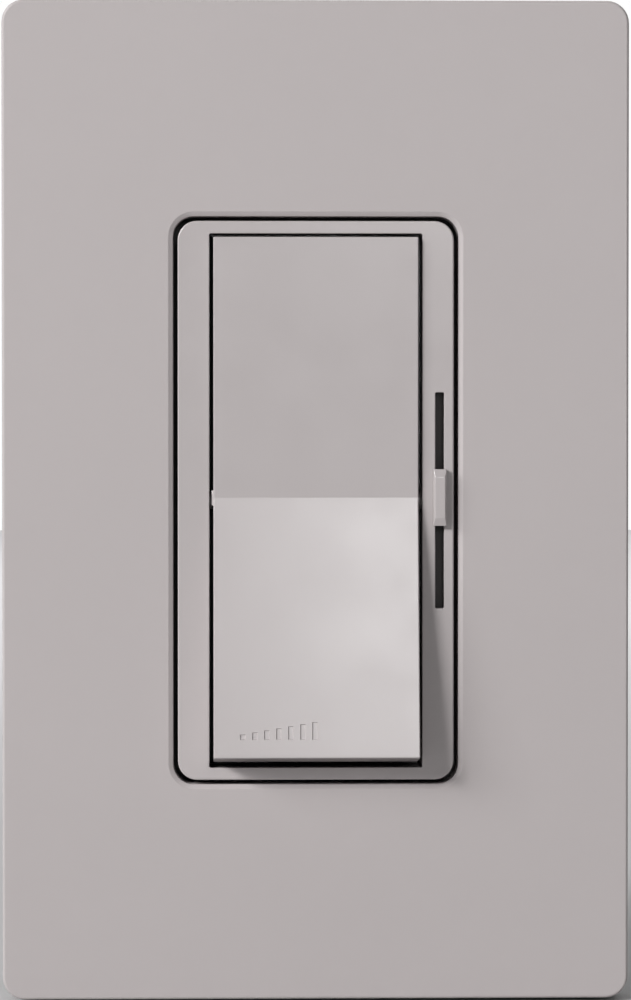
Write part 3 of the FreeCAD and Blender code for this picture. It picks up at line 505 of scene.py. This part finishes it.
for side in (-1, 1):
    x_edge, z_edge = side * inner_w / 2, side * inner_h / 2
    for z in (-36, 0, 36):
        span = sorted((x_edge - side * RIB_PROUD, x_edge + side * 0.3))
        cover.block(span, RIB_Y, (z - RIB_HALF, z + RIB_HALF), 0.09)
    for x in (-18, 18):
        span = sorted((z_edge - side * RIB_PROUD, z_edge + side * 0.3))
        cover.block((x - RIB_HALF, x + RIB_HALF), RIB_Y, span, 0.09)
piece("wallplate_shell", cover, "plate_plastic", "cover", ["wallplate_cover"])

# ---- bezel ---------------------------------------------------------------------------------------

low, high = node_box("bezel")
BEZEL_W, BEZEL_H, BEZEL_R = 32.9, 66.6, 2.3
BEZEL_FRONT, FLANGE_FRONT = low.y, -2.8
FLANGE_W, FLANGE_H = high.x - low.x, high.z - low.z
YOKE_FRONT = node_box("yoke")[0].y
WELL_W, WELL_TOP, WELL_BOTTOM = 25.4, 31.8, -31.85
WELL_H, WELL_Z = WELL_TOP - WELL_BOTTOM, (WELL_TOP + WELL_BOTTOM) / 2
CHANNEL_X, CHANNEL_END, SKIN_BACK = (13.5, 15.55), 32.2, BEZEL_FRONT + 1.5
SLOT_W, SLOT_H, SLOT_X, SLOT_Z = 1.05, 25.75, node_centre("slider_knob").x, 0.02
PIVOT = Vector(JOINTS["paddle_rock"]["pos_m"]) / MM
BEARING_R, TRUNNION_R = 1.15, 1.1
POCKETS = ((-31, -21), (-19, -1.5), (1.5, 19), (21, 31))


def outline_ring(x, z, y):
    """A sharp rectangle between pairs of values, at depth y."""
    return frame_ring(x[1] - x[0], z[1] - z[0], 0.1, y, sum(x) / 2, sum(z) / 2, 1)


bezel = Solid()
rim = [bezel.ring(r) for r in round_over(BEZEL_W, BEZEL_H, BEZEL_R, BEZEL_FRONT, 0.2, -1)]
flange = [
    frame_ring(BEZEL_W, BEZEL_H, BEZEL_R, FLANGE_FRONT),
    frame_ring(FLANGE_W - 0.2, FLANGE_H - 0.2, 2.9, FLANGE_FRONT),
    frame_ring(FLANGE_W, FLANGE_H, 3.0, FLANGE_FRONT + 0.1),
    frame_ring(FLANGE_W, FLANGE_H, 3.0, YOKE_FRONT),
]
rim += [bezel.ring(r) for r in flange]
for a, b in zip(rim, rim[1:]):
    bezel.bridge(a, b)
well = [bezel.ring(r) for r in round_over(WELL_W, WELL_H, 0.2, BEZEL_FRONT, 0.09, 1, 0, WELL_Z, 3, 2)]
for a, b in zip(well, well[1:]):
    bezel.bridge(a, b)
well.append(bezel.ring(frame_ring(WELL_W, WELL_H, 0.2, YOKE_FRONT, 0, WELL_Z, 2)))
left_side, right_side = 5, 11
bezel.bridge(well[-2], well[-1], skip=(left_side, right_side))
slot = [bezel.ring(r) for r in round_over(SLOT_W, SLOT_H, 0.1, BEZEL_FRONT, 0.12, 1, SLOT_X, SLOT_Z, 3, 1)]
slot.append(bezel.ring(frame_ring(SLOT_W, SLOT_H, 0.1, SKIN_BACK, SLOT_X, SLOT_Z, 1)))
for a, b in zip(slot, slot[1:]):
    bezel.bridge(a, b)
bezel.fill(rim[0], well[0], slot[0])

channel_span = (-CHANNEL_END, CHANNEL_END)
channel = [bezel.ring(outline_ring(CHANNEL_X, channel_span, y)) for y in (SKIN_BACK, YOKE_FRONT)]
channel_left = 3
bezel.bridge(channel[0], channel[1], skip=(channel_left,))
bezel.fill(channel[0], slot[-1])
backs = [channel[1]]
for z in POCKETS:
    ends = [bezel.ring(outline_ring((-CHANNEL_X[1], -CHANNEL_X[0]), z, y)) for y in (SKIN_BACK, YOKE_FRONT)]
    bezel.bridge(*ends)
    bezel.bm.faces.new(ends[0])
    backs.append(ends[1])
bezel.fill(rim[-1], well[-1], *backs)


def side_wall(solid, front, back, index, hole):
    """The flat wall between two rings along one side, with a round hole."""
    following = (index + 1) % len(front)
    solid.fill([front[index], front[following], back[following], back[index]], hole)


for side, index in ((-1, left_side), (1, right_side)):
    reach = (WELL_W / 2, CHANNEL_X[0])
    holes = [bezel.ring(circle(BEARING_R, (side * x, PIVOT.y, 0), "x")) for x in reach]
    bezel.bridge(*holes)
    side_wall(bezel, well[-2], well[-1], index, holes[0])
    if side > 0:
        side_wall(bezel, channel[0], channel[1], channel_left, holes[1])
    else:
        bezel.bm.faces.new(holes[1])
# Catches that hook behind the yoke, as (y, z) outlines.
CATCH = ((-2.0, 33.1), (1.5, 33.1), (1.5, 32.0), (0.3, 31.3), (0.05, 31.3), (0.05, 32.0), (-2.0, 32.0))
for x in (-8, 8):
    for end in (-1, 1):
        bezel.prism_x([(y, end * z) for y, z in CATCH], x - 2, x + 2)
piece("bezel_frame", bezel, "device_plastic", "frame", ["bezel"])

# ---- paddle --------------------------------------------------------------------------------------

HALF_ROCK = math.radians(max(JOINTS["paddle_rock"]["range_deg"]) / 2)
ROCK = Matrix.Translation(PIVOT) @ Matrix.Rotation(-HALF_ROCK, 4, "X") @ Matrix.Translation(-PIVOT)
PADDLE_HALF, FACET, CREASE_Y, SKIRT_Y = 12.2, 31.0, -8.51, -4.6
FACET_END = (CREASE_Y - FACET * math.sin(HALF_ROCK), FACET * math.cos(HALF_ROCK))
BASE_Z = FACET_END[1] + 0.08 * (SKIRT_Y - FACET_END[0])
PADDLE_SKIN, PADDLE_SIDE = 1.5, 1.4
CREASE_ROUND, RIM_ROUND = 0.08, 0.14

paddle = Solid()
half = [(SKIRT_Y, BASE_Z), FACET_END]
outline = [(CREASE_Y, 0), *[(y, -z) for y, z in reversed(half)], (SKIRT_Y, -4.8), (-2.2, -3.2), (-2.2, 3.2)]
outline += [(SKIRT_Y, 4.8), *half]
paddle.prism_x(outline, -PADDLE_HALF, PADDLE_HALF)
crease = [e for e in paddle.bm.edges if all(abs(v.co.z) < 0.01 and v.co.y < -8 for v in e.verts)]
paddle.bevel(crease, CREASE_ROUND, 2)
rounded = []
for edge in paddle.bm.edges:
    a, b = (v.co for v in edge.verts)
    on_side = abs(a.x) > PADDLE_HALF - 0.1 and abs(a.x - b.x) < 0.1
    facet_rim = on_side and max(a.y, b.y) < CREASE_Y + 0.01
    corner = on_side and min(abs(a.z), abs(b.z)) > 30
    end_rim = min(abs(a.z), abs(b.z)) > 30 and max(a.y, b.y) < FACET_END[0] + 0.1
    if facet_rim or corner or end_rim:
        rounded.append(edge)
paddle.bevel(rounded, RIM_ROUND)

cavity = Solid()
inner_end = (FACET_END[0] + PADDLE_SKIN, FACET_END[1] - PADDLE_SKIN)
inner_base = BASE_Z - PADDLE_SKIN
hollow = [(CREASE_Y + PADDLE_SKIN, 0), (inner_end[0], inner_end[1]), (1, inner_base)]
hollow += [(1, -inner_base), (inner_end[0], -inner_end[1])]
cavity.prism_x(hollow, -PADDLE_HALF + PADDLE_SIDE, PADDLE_HALF - PADDLE_SIDE)

# A row of rising bars, pressed into the lower facet.
mark = Solid()
down_facet = Vector((0, -math.sin(HALF_ROCK), -math.cos(HALF_ROCK)))
out_of_facet = Vector((0, -math.cos(HALF_ROCK), math.sin(HALF_ROCK)))
BARS, BAR_PITCH, BAR_W, BAR_DEPTH, MARK_X, MARK_BASE = 7, 1.42, 0.5, 0.13, -9.0, 28.75
for i in range(BARS):
    x0, height = MARK_X + i * BAR_PITCH, 0.5 + 0.24 * i
    rings = []
    for depth, grow in ((-BAR_DEPTH, 0.0), (0.0, 0.07), (0.5, 0.07)):
        left, right, top, bottom = x0 - grow, x0 + BAR_W + grow, MARK_BASE - height - grow, MARK_BASE + grow
        corners = ((left, bottom), (right, bottom), (right, top), (left, top))
        rings.append([Vector((x, CREASE_Y, 0)) + down_facet * d + out_of_facet * depth for x, d in corners])
    mark.loft(rings)

piece("rocker_paddle", paddle, "device_plastic", "paddle", ["paddle"], ROCK, [cavity, mark])


# Long ribs, cross ribs and fins round the hub. Those at the middle stop at the hub's wall, clear of its bore.
STIFFENER_SINK, STIFFENER_HALF, STIFFENER_ROUND = 0.3, 0.5, 0.06
LONG_RIB_X, LONG_RIB_START, LONG_RIB_END, LONG_RIB_BACK = (-6.5, 6.5), 0.7, 29.6, -5.2
CROSS_RIB_Z, CROSS_RIB_REACH, CROSS_RIB_BACK, MIDDLE_RIB_BACK = (-22, -12, 0, 12, 22), 10.9, -5.4, -5.0
HUB_WALL, FIN_REACH, FIN_HALF, FIN_DEPTH = 2.6, 4.4, 0.6, (-7.2, -2.5)

inside = Solid()
rib_face = CREASE_Y + PADDLE_SKIN - STIFFENER_SINK
rib_tip = FACET_END[0] + PADDLE_SKIN - STIFFENER_SINK
for x in LONG_RIB_X:
    for end in (-1, 1):
        start, stop = end * LONG_RIB_START, end * LONG_RIB_END
        rib = [(rib_face, start), (rib_tip, stop), (LONG_RIB_BACK, stop), (LONG_RIB_BACK, start)]
        inside.prism_x(rib, x - STIFFENER_HALF, x + STIFFENER_HALF)
for z in CROSS_RIB_Z:
    front = rib_face - abs(z) * math.tan(HALF_ROCK)
    back = CROSS_RIB_BACK if z else MIDDLE_RIB_BACK
    spans = ((-CROSS_RIB_REACH, CROSS_RIB_REACH),)
    if z == 0:
        spans = ((-CROSS_RIB_REACH, -HUB_WALL), (HUB_WALL, CROSS_RIB_REACH))
    for span in spans:
        inside.block(span, (front, back), (z - STIFFENER_HALF, z + STIFFENER_HALF), STIFFENER_ROUND, 1)
for span in ((-FIN_REACH, -HUB_WALL), (HUB_WALL, FIN_REACH)):
    inside.block(span, FIN_DEPTH, (-FIN_HALF, FIN_HALF), STIFFENER_ROUND, 1)
    inside.block((-FIN_HALF, FIN_HALF), FIN_DEPTH, span, STIFFENER_ROUND, 1)
hub_outside = ((-7.4, 2.13), (-7.4, 2.92), (-7.32, 3.0), (1.42, 3.0))
hub_inside = ((1.5, 2.92), (1.5, 2.13), (1.42, 2.05), (-7.32, 2.05))
turned(inside, hub_outside + hub_inside, closed=True)
turned(inside, ((-7.35, 2.5), (-6.2, 2.5)))
for side in (-1, 1):
    trunnion = ((side * 10.9, TRUNNION_R), (side * 13.3, TRUNNION_R), (side * 13.4, TRUNNION_R - 0.1))
    turned(inside, trunnion, (0, PIVOT.y, 0), "x")
inside.block((-PADDLE_HALF - 0.2, -PADDLE_HALF + 0.3), (CREASE_Y + 0.25, PIVOT.y), (-0.9, 0.9), 0.06, 2)
piece("paddle_inside", inside, "device_plastic", "paddle", ["paddle"], ROCK)

# ---- slide knob ----------------------------------------------------------------------------------

knob_low, knob_high = node_box("slider_knob")
KNOB = node_centre("slider_knob")
KNOB_BASE, KNOB_TOP = -7.95, knob_low.y


def level(w, h, y):
    """A rectangle on the knob's middle at depth y."""
    return [(KNOB.x + a * w / 2, y, KNOB.z + b * h / 2) for a, b in ((-1, -1), (1, -1), (1, 1), (-1, 1))]


knob = Solid()
KNOB_CHAMFER, KNOB_SIZE, KNOB_FACE = 0.36, (1.6, 6.75), (1.2, 4.85)
shoulder = level(*KNOB_SIZE, KNOB_TOP + KNOB_CHAMFER)
knob.loft([level(*KNOB_SIZE, KNOB_BASE), shoulder, level(*KNOB_FACE, KNOB_TOP)])
knob.bevel([e for e in knob.bm.edges if min(v.co.y for v in e.verts) < KNOB_BASE - 0.3], 0.07, 3)
# Its neck through the slot, its runner behind the bezel, and the tongue that drives the wiper.
for x_half, (front, back), z_half, round_by in (
    (0.4, (KNOB_BASE - 0.1, -5.8), 2.2, 0.05),
    (0.6, (-5.9, -2.5), 3.5, 0.1),
    (0.6, (-2.6, knob_high.y), 1.5, 0.1),
):
    x_span, z_span = (KNOB.x - x_half, KNOB.x + x_half), (KNOB.z - z_half, KNOB.z + z_half)
    knob.block(x_span, (front, back), z_span, round_by)
piece("slide_knob", knob, "device_plastic", "slider", ["slider_knob"])

# ---- spring and choke winding --------------------------------------------------------------------

SPRING_START, SPRING_END, COIL_R, SPRING_WIRE = -6.15, -0.65, 1.45, 0.21
TURNS, SPRING_STEPS = 7.5, 20
CLOSED_TURNS, CLOSED_RISE = 0.8, 0.18
coil = []
for i in range(int(TURNS * SPRING_STEPS) + 1):
    turn = i / (TURNS * SPRING_STEPS) * TURNS
    open_share = min(max((turn - CLOSED_TURNS) / (TURNS - 2 * CLOSED_TURNS), 0.0), 1.0)
    closed = min(turn, CLOSED_TURNS) + max(turn - TURNS + CLOSED_TURNS, 0.0)
    span = SPRING_END - SPRING_START - 2 * SPRING_WIRE - 2 * CLOSED_RISE
    y = SPRING_START + SPRING_WIRE + CLOSED_RISE * closed / CLOSED_TURNS + span * open_share
    a = 2 * math.pi * i / SPRING_STEPS
    coil.append((COIL_R * math.cos(a), y, COIL_R * math.sin(a)))
spring = Solid()
wire(spring, coil, SPRING_WIRE)
spring_piece = piece("spring_coil", spring, "spring_steel", "paddle", ["paddle_spring"], ROCK, (), 60)
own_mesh(spring_piece)

core_low, core_high = node_box("choke_core")
CHOKE = (core_low + core_high) / 2
core_r, core_half = (core_high.x - core_low.x) / 2, (core_high.y - core_low.y) / 2
CORE_BORE, WINDING_WIRE, WINDING_PROUD, WINDINGS, PER_TURN = 5.4, 0.5, 0.62, 28, 20
WINDING_START, WINDING_SPAN, SQUARENESS = 106, 328, 0.4
LEG_SHIFT, LEG_IN_BOARD, LEG_LIFT = 0.6, 0.8, 0.9
middle, reach_r = (core_r + CORE_BORE) / 2, (core_r - CORE_BORE) / 2 + WINDING_PROUD
reach_y = core_half + WINDING_PROUD
BOARD_BACK = node_box("circuit_board")[1].y
turns_path = []
for i in range(WINDINGS * PER_TURN + 1):
    a = math.radians(WINDING_START + WINDING_SPAN * i / (WINDINGS * PER_TURN))
    b = 2 * math.pi * i / PER_TURN - 0.25 * math.pi
    u, v = (math.copysign(abs(f) ** SQUARENESS, f) for f in (math.cos(b), math.sin(b)))
    r = middle + reach_r * u
    turns_path.append(Vector((CHOKE.x + r * math.cos(a), CHOKE.y + reach_y * v, CHOKE.z + r * math.sin(a))))
legs = []
for p in (turns_path[0], turns_path[-1]):
    legs.append([Vector((p.x, y, p.z + LEG_SHIFT)) for y in (BOARD_BACK - LEG_IN_BOARD, p.y - LEG_LIFT)])
winding = Solid()
wire(winding, [*legs[0], *turns_path, *reversed(legs[1])], WINDING_WIRE)
piece("choke_turns", winding, "copper_wire", "frame", ["choke_winding"], None, (), 60)

# ---- screws --------------------------------------------------------------------------------------

PITCH, GROOVE, AROUND, POINT = 0.79, 0.2, 20, 0.9
NECK_IN = 0.28
# Half sizes of the recess's two blades, as shares of the head's radius.
CROSS = ((0.6, 0.17), (0.17, 0.6))
CROSS_SLOT = ((0.63, 0.15), (0.15, 1.2))


def threaded(solid, start, end, radius):
    """A screw thread along +Y, with its point at end."""
    step = PITCH / 6
    outlines = []
    for i in range(int((end - start) / step) + 1):
        along = i * step
        left = end - start - along
        slim = 1.0 if left > POINT else 0.68 + 0.32 * left / POINT
        outline = []
        for k in range(AROUND):
            phase = (along / PITCH - k / AROUND) % 1.0
            depth = GROOVE * (1 - abs(2 * phase - 1)) ** 0.8 * min(1.0, 2 * along, 4 * left + 0.3)
            a = 2 * math.pi * k / AROUND
            r = radius * slim - depth
            outline.append((r * math.cos(a), start + along, r * math.sin(a)))
        outlines.append(outline)
    solid.loft(outlines)


def domed_head(radius, height):
    """A pan head in front of y 0."""
    stations = [(0, radius - 0.08), (-0.08, radius), (-height * 0.5, radius)]
    for i in range(1, 7):
        a = math.radians(15 * i)
        stations.append((-height * (0.5 + 0.42 * math.sin(a)), radius - height * 0.5 * (1 - math.cos(a))))
    stations += [(-height * rise, radius * share) for share, rise in ((0.6, 0.96), (0.3, 0.99), (0.06, 1.0))]
    head = Solid()
    turned(head, stations, count=32)
    return head


def recess(radius, height, blade):
    """The cutter for one blade of the recess in the top of a head, tapering inwards."""
    tool = Solid()
    outlines = []
    for y, scale in ((-height - 0.4, 1.1), (-height * 0.38, 0.62)):
        w, h = (share * radius * scale for share in blade)
        outlines.append([(i * w, y, j * h) for i, j in ((-1, -1), (1, -1), (1, 1), (-1, 1))])
    tool.loft(outlines)
    return tool


def screw(name, node, material, at, head, shank, turn=0, neck=0.0, blades=CROSS):
    """A domed screw with its head's flat side at a point, pointing along +Y turned about Z.

    Head is its radius and height, and shank its radius and length.
    """
    place = Matrix.Translation(at) @ Matrix.Rotation(math.radians(turn), 4, "Z")
    cutters = [recess(*head, blade) for blade in blades]
    piece(f"{name}_head", domed_head(*head), material, "frame", [node], place, cutters, 30)
    body = Solid()
    if neck:
        neck_radius = shank[0] - NECK_IN
        turned(body, ((-0.2, neck_radius), (neck + 0.2, neck_radius)))
    threaded(body, neck - 0.1, shank[1], shank[0])
    piece(f"{name}_shank", body, material, "frame", [node], place, (), 50)


stud_end, short_end = node_box("mounting_screws")[1], node_box("adapter_screws")[1]
back_low, back_high = node_box("case_screws")
STUD_HEAD, SHORT_HEAD, BACK_HEAD, TERMINAL_HEAD = (3.3, 2.1), (2.9, 1.8), (2.7, 1.7), (3.5, 2.2)
SHORT_SEAT = -3.0
for end, row in ((1, "upper"), (-1, "lower")):
    at = (0, YOKE_FRONT, end * (stud_end.z - STUD_HEAD[0]))
    shank = (1.75, stud_end.y - YOKE_FRONT)
    screw(f"box_screw_{row}", "mounting_screws", "zinc_steel", at, STUD_HEAD, shank, neck=2.0)
    at = (0, SHORT_SEAT, end * (short_end.z - SHORT_HEAD[0]))
    shank = (1.7, short_end.y - SHORT_SEAT)
    screw(f"plate_screw_{row}", "adapter_screws", "zinc_steel", at, SHORT_HEAD, shank)
    for side, column in ((1, "right"), (-1, "left")):
        seat = back_high.y - BACK_HEAD[1]
        at = (side * (back_high.x - BACK_HEAD[0]), seat, end * (back_high.z - BACK_HEAD[0]))
        shank = (1.5, seat - back_low.y)
        screw(f"case_screw_{row}_{column}", "case_screws", "zinc_steel", at, BACK_HEAD, shank, 180)

for name, node, material, side, end in (
    ("common_screw", "common_screw", "black_oxide", -1, 1),
    ("traveller_screw_upper", "traveller_screws", "brass", 1, 1),
    ("traveller_screw_lower", "traveller_screws", "brass", 1, -1),
):
    low, high = node_box(node)
    outer = high.x if side > 0 else low.x
    at = (outer - side * TERMINAL_HEAD[1], (low.y + high.y) / 2, end * (high.z - TERMINAL_HEAD[0]))
    screw(name, node, material, at, TERMINAL_HEAD, (1.5, 3.0), side * 90, 0.0, CROSS_SLOT)

ground_low, ground_high = node_box("ground_screw")
ground = node_centre("ground_screw")
GROUND_SEAT = 1.0
place = Matrix.Translation((ground.x, GROUND_SEAT, ground.z)) @ Matrix.Rotation(math.pi, 4, "Z")
hexagon = Solid()
reach = (ground_high.x - ground_low.x) / 2
turned(hexagon, ((0, reach - 0.1), (-0.1, reach), (-2.1, reach), (-2.4, reach - 0.4)), count=6)
blade = Solid()
blade.block((-5, 5), (-3.0, -1.5), (-0.45, 0.45), 0)
piece("ground_screw_head", hexagon, "green_metal", "frame", ["ground_screw"], place, [blade], 20)
shank = Solid()
threaded(shank, -0.1, GROUND_SEAT - ground_low.y, 1.7)
piece("ground_screw_shank", shank, "green_metal", "frame", ["ground_screw"], place, (), 50)

# ---- solder --------------------------------------------------------------------------------------

BOARD_FRONT = node_box("circuit_board")[0].y
resistor = node_centre("resistors")
AXIAL_HALVES = ((5.1, (5.4, 8.6, 16.0, 19.4)), (3.9, (25.5,)))
back_side = [(resistor.x + side * half, z) for half, rows in AXIAL_HALVES for z in rows for side in (-1, 1)]
front_side = [(-7.5, -5.4), (7.5, -5.4), (-8.5, -18.0), (-4.5, -18.0), (3.0, -17.9), (8.0, -17.9)]
CONE = ((-0.02, 0.95), (0.03, 1.0), (0.12, 0.82), (0.3, 0.58), (0.55, 0.44), (0.75, 0.40), (0.78, 0.2))
solder = Solid()
for points, face, way in ((back_side, BOARD_BACK, 1), (front_side, BOARD_FRONT, -1)):
    for x, z in points:
        turned(solder, [(face + way * along, radius) for along, radius in CONE], (x, 0, z), count=20)
piece("solder_joints", solder, "tinned_wire", "frame", (), None, (), 60)

# ---- stage ---------------------------------------------------------------------------------------

CAMERA_AT = Vector((-0.0122, -0.488, 0.010))
AIM = Vector((-0.00004, cad_box[0].y + 0.0055, 0.00008))
VIEW_HEIGHT, SENSOR = 0.1192, 36.0

camera = bpy.data.objects.new("camera", bpy.data.cameras.new("camera"))
camera.location = CAMERA_AT
camera.rotation_euler = (AIM - CAMERA_AT).to_track_quat("-Z", "Y").to_euler()
camera.data.sensor_width = SENSOR
camera.data.lens = SENSOR * (AIM - CAMERA_AT).length / VIEW_HEIGHT
camera.data.clip_start, camera.data.clip_end = 0.01, 20.0
bpy.context.scene.collection.objects.link(camera)
bpy.context.scene.camera = camera


def area_light(name, at, aim, size, power):
    """A rectangular soft light, facing a point."""
    data = bpy.data.lights.new(name, "AREA")
    data.shape = "RECTANGLE"
    data.size, data.size_y = size
    data.energy = power
    light = bpy.data.objects.new(name, data)
    light.location = at
    light.rotation_euler = (Vector(aim) - Vector(at)).to_track_quat("-Z", "Y").to_euler()
    bpy.context.scene.collection.objects.link(light)


area_light("key", (-1.44, -1.56, 0.98), (0, 0, 0), (0.60, 0.36), 38.0)
area_light("side", (-1.90, -1.05, 0.90), (0, 0, 0), (0.80, 0.80), 22.0)
area_light("softbox", (0.085, -0.62, 0.17), (0, 0, 0), (0.14, 0.16), 0.42)
area_light("backdrop", (0, 1.0, 1.3), (0, 2.3, 0), (3.0, 1.2), 48.0)

# White surroundings behind, dimmer ones in front, and a dark patch round the camera.
world = bpy.data.worlds.new("studio")
world.use_nodes = True
sky = world.node_tree
direction = sky.nodes.new("ShaderNodeTexCoord").outputs["Generated"]
forward = sky.nodes.new("ShaderNodeSeparateXYZ")
sky.links.new(direction, forward.inputs["Vector"])
shade = sky.nodes.new("ShaderNodeMapRange")
shade.inputs["From Min"].default_value = -1.0
shade.inputs["From Max"].default_value = 1.0
sky.links.new(forward.outputs["Y"], shade.inputs["Value"])
levels = sky.nodes.new("ShaderNodeValToRGB")
PATCH, FRONT, SIDES, BEHIND = 0.01, 0.02, 0.25, 1.0
stops = [(0.0, PATCH), (0.03, PATCH), (0.09, FRONT), (0.45, FRONT)]
stops += [(0.55, SIDES), (0.90, SIDES), (0.96, BEHIND)]
while len(levels.color_ramp.elements) < len(stops):
    levels.color_ramp.elements.new(0.5)
for stop, (position, value) in zip(levels.color_ramp.elements, stops):
    stop.position, stop.color = position, (value, value, value, 1.0)
sky.links.new(shade.outputs["Result"], levels.inputs["Fac"])
sky.links.new(levels.outputs["Color"], sky.nodes["Background"].inputs["Color"])
sky.nodes["Background"].inputs["Strength"].default_value = 1.0
bpy.context.scene.world = world

FLOOR_GAP, FLOOR_HALF, FLOOR_CELLS, FLOOR_TONES = 0.0004, 2.0, 24, (0.52, 0.56)
bm = bmesh.new()
bmesh.ops.create_grid(bm, x_segments=FLOOR_CELLS, y_segments=FLOOR_CELLS, size=FLOOR_HALF)
bmesh.ops.translate(bm, verts=bm.verts, vec=(0, 0, cad_box[0].z - FLOOR_GAP))
floor_mesh = bpy.data.meshes.new("floor")
bm.to_mesh(floor_mesh)
bm.free()
floor = bpy.data.objects.new("floor", floor_mesh)
bpy.context.scene.collection.objects.link(floor)
floor_shader = Shader("floor", 0.85, specular=0.2)
floor_tones = [(0.3, (FLOOR_TONES[0],) * 3), (0.7, (FLOOR_TONES[1],) * 3)]
floor_shader.colour(floor_shader.ramp(floor_shader.noise(3, 3), floor_tones))
floor.data.materials.append(floor_shader.material)

bpy.context.scene.view_settings.view_transform = "Standard"
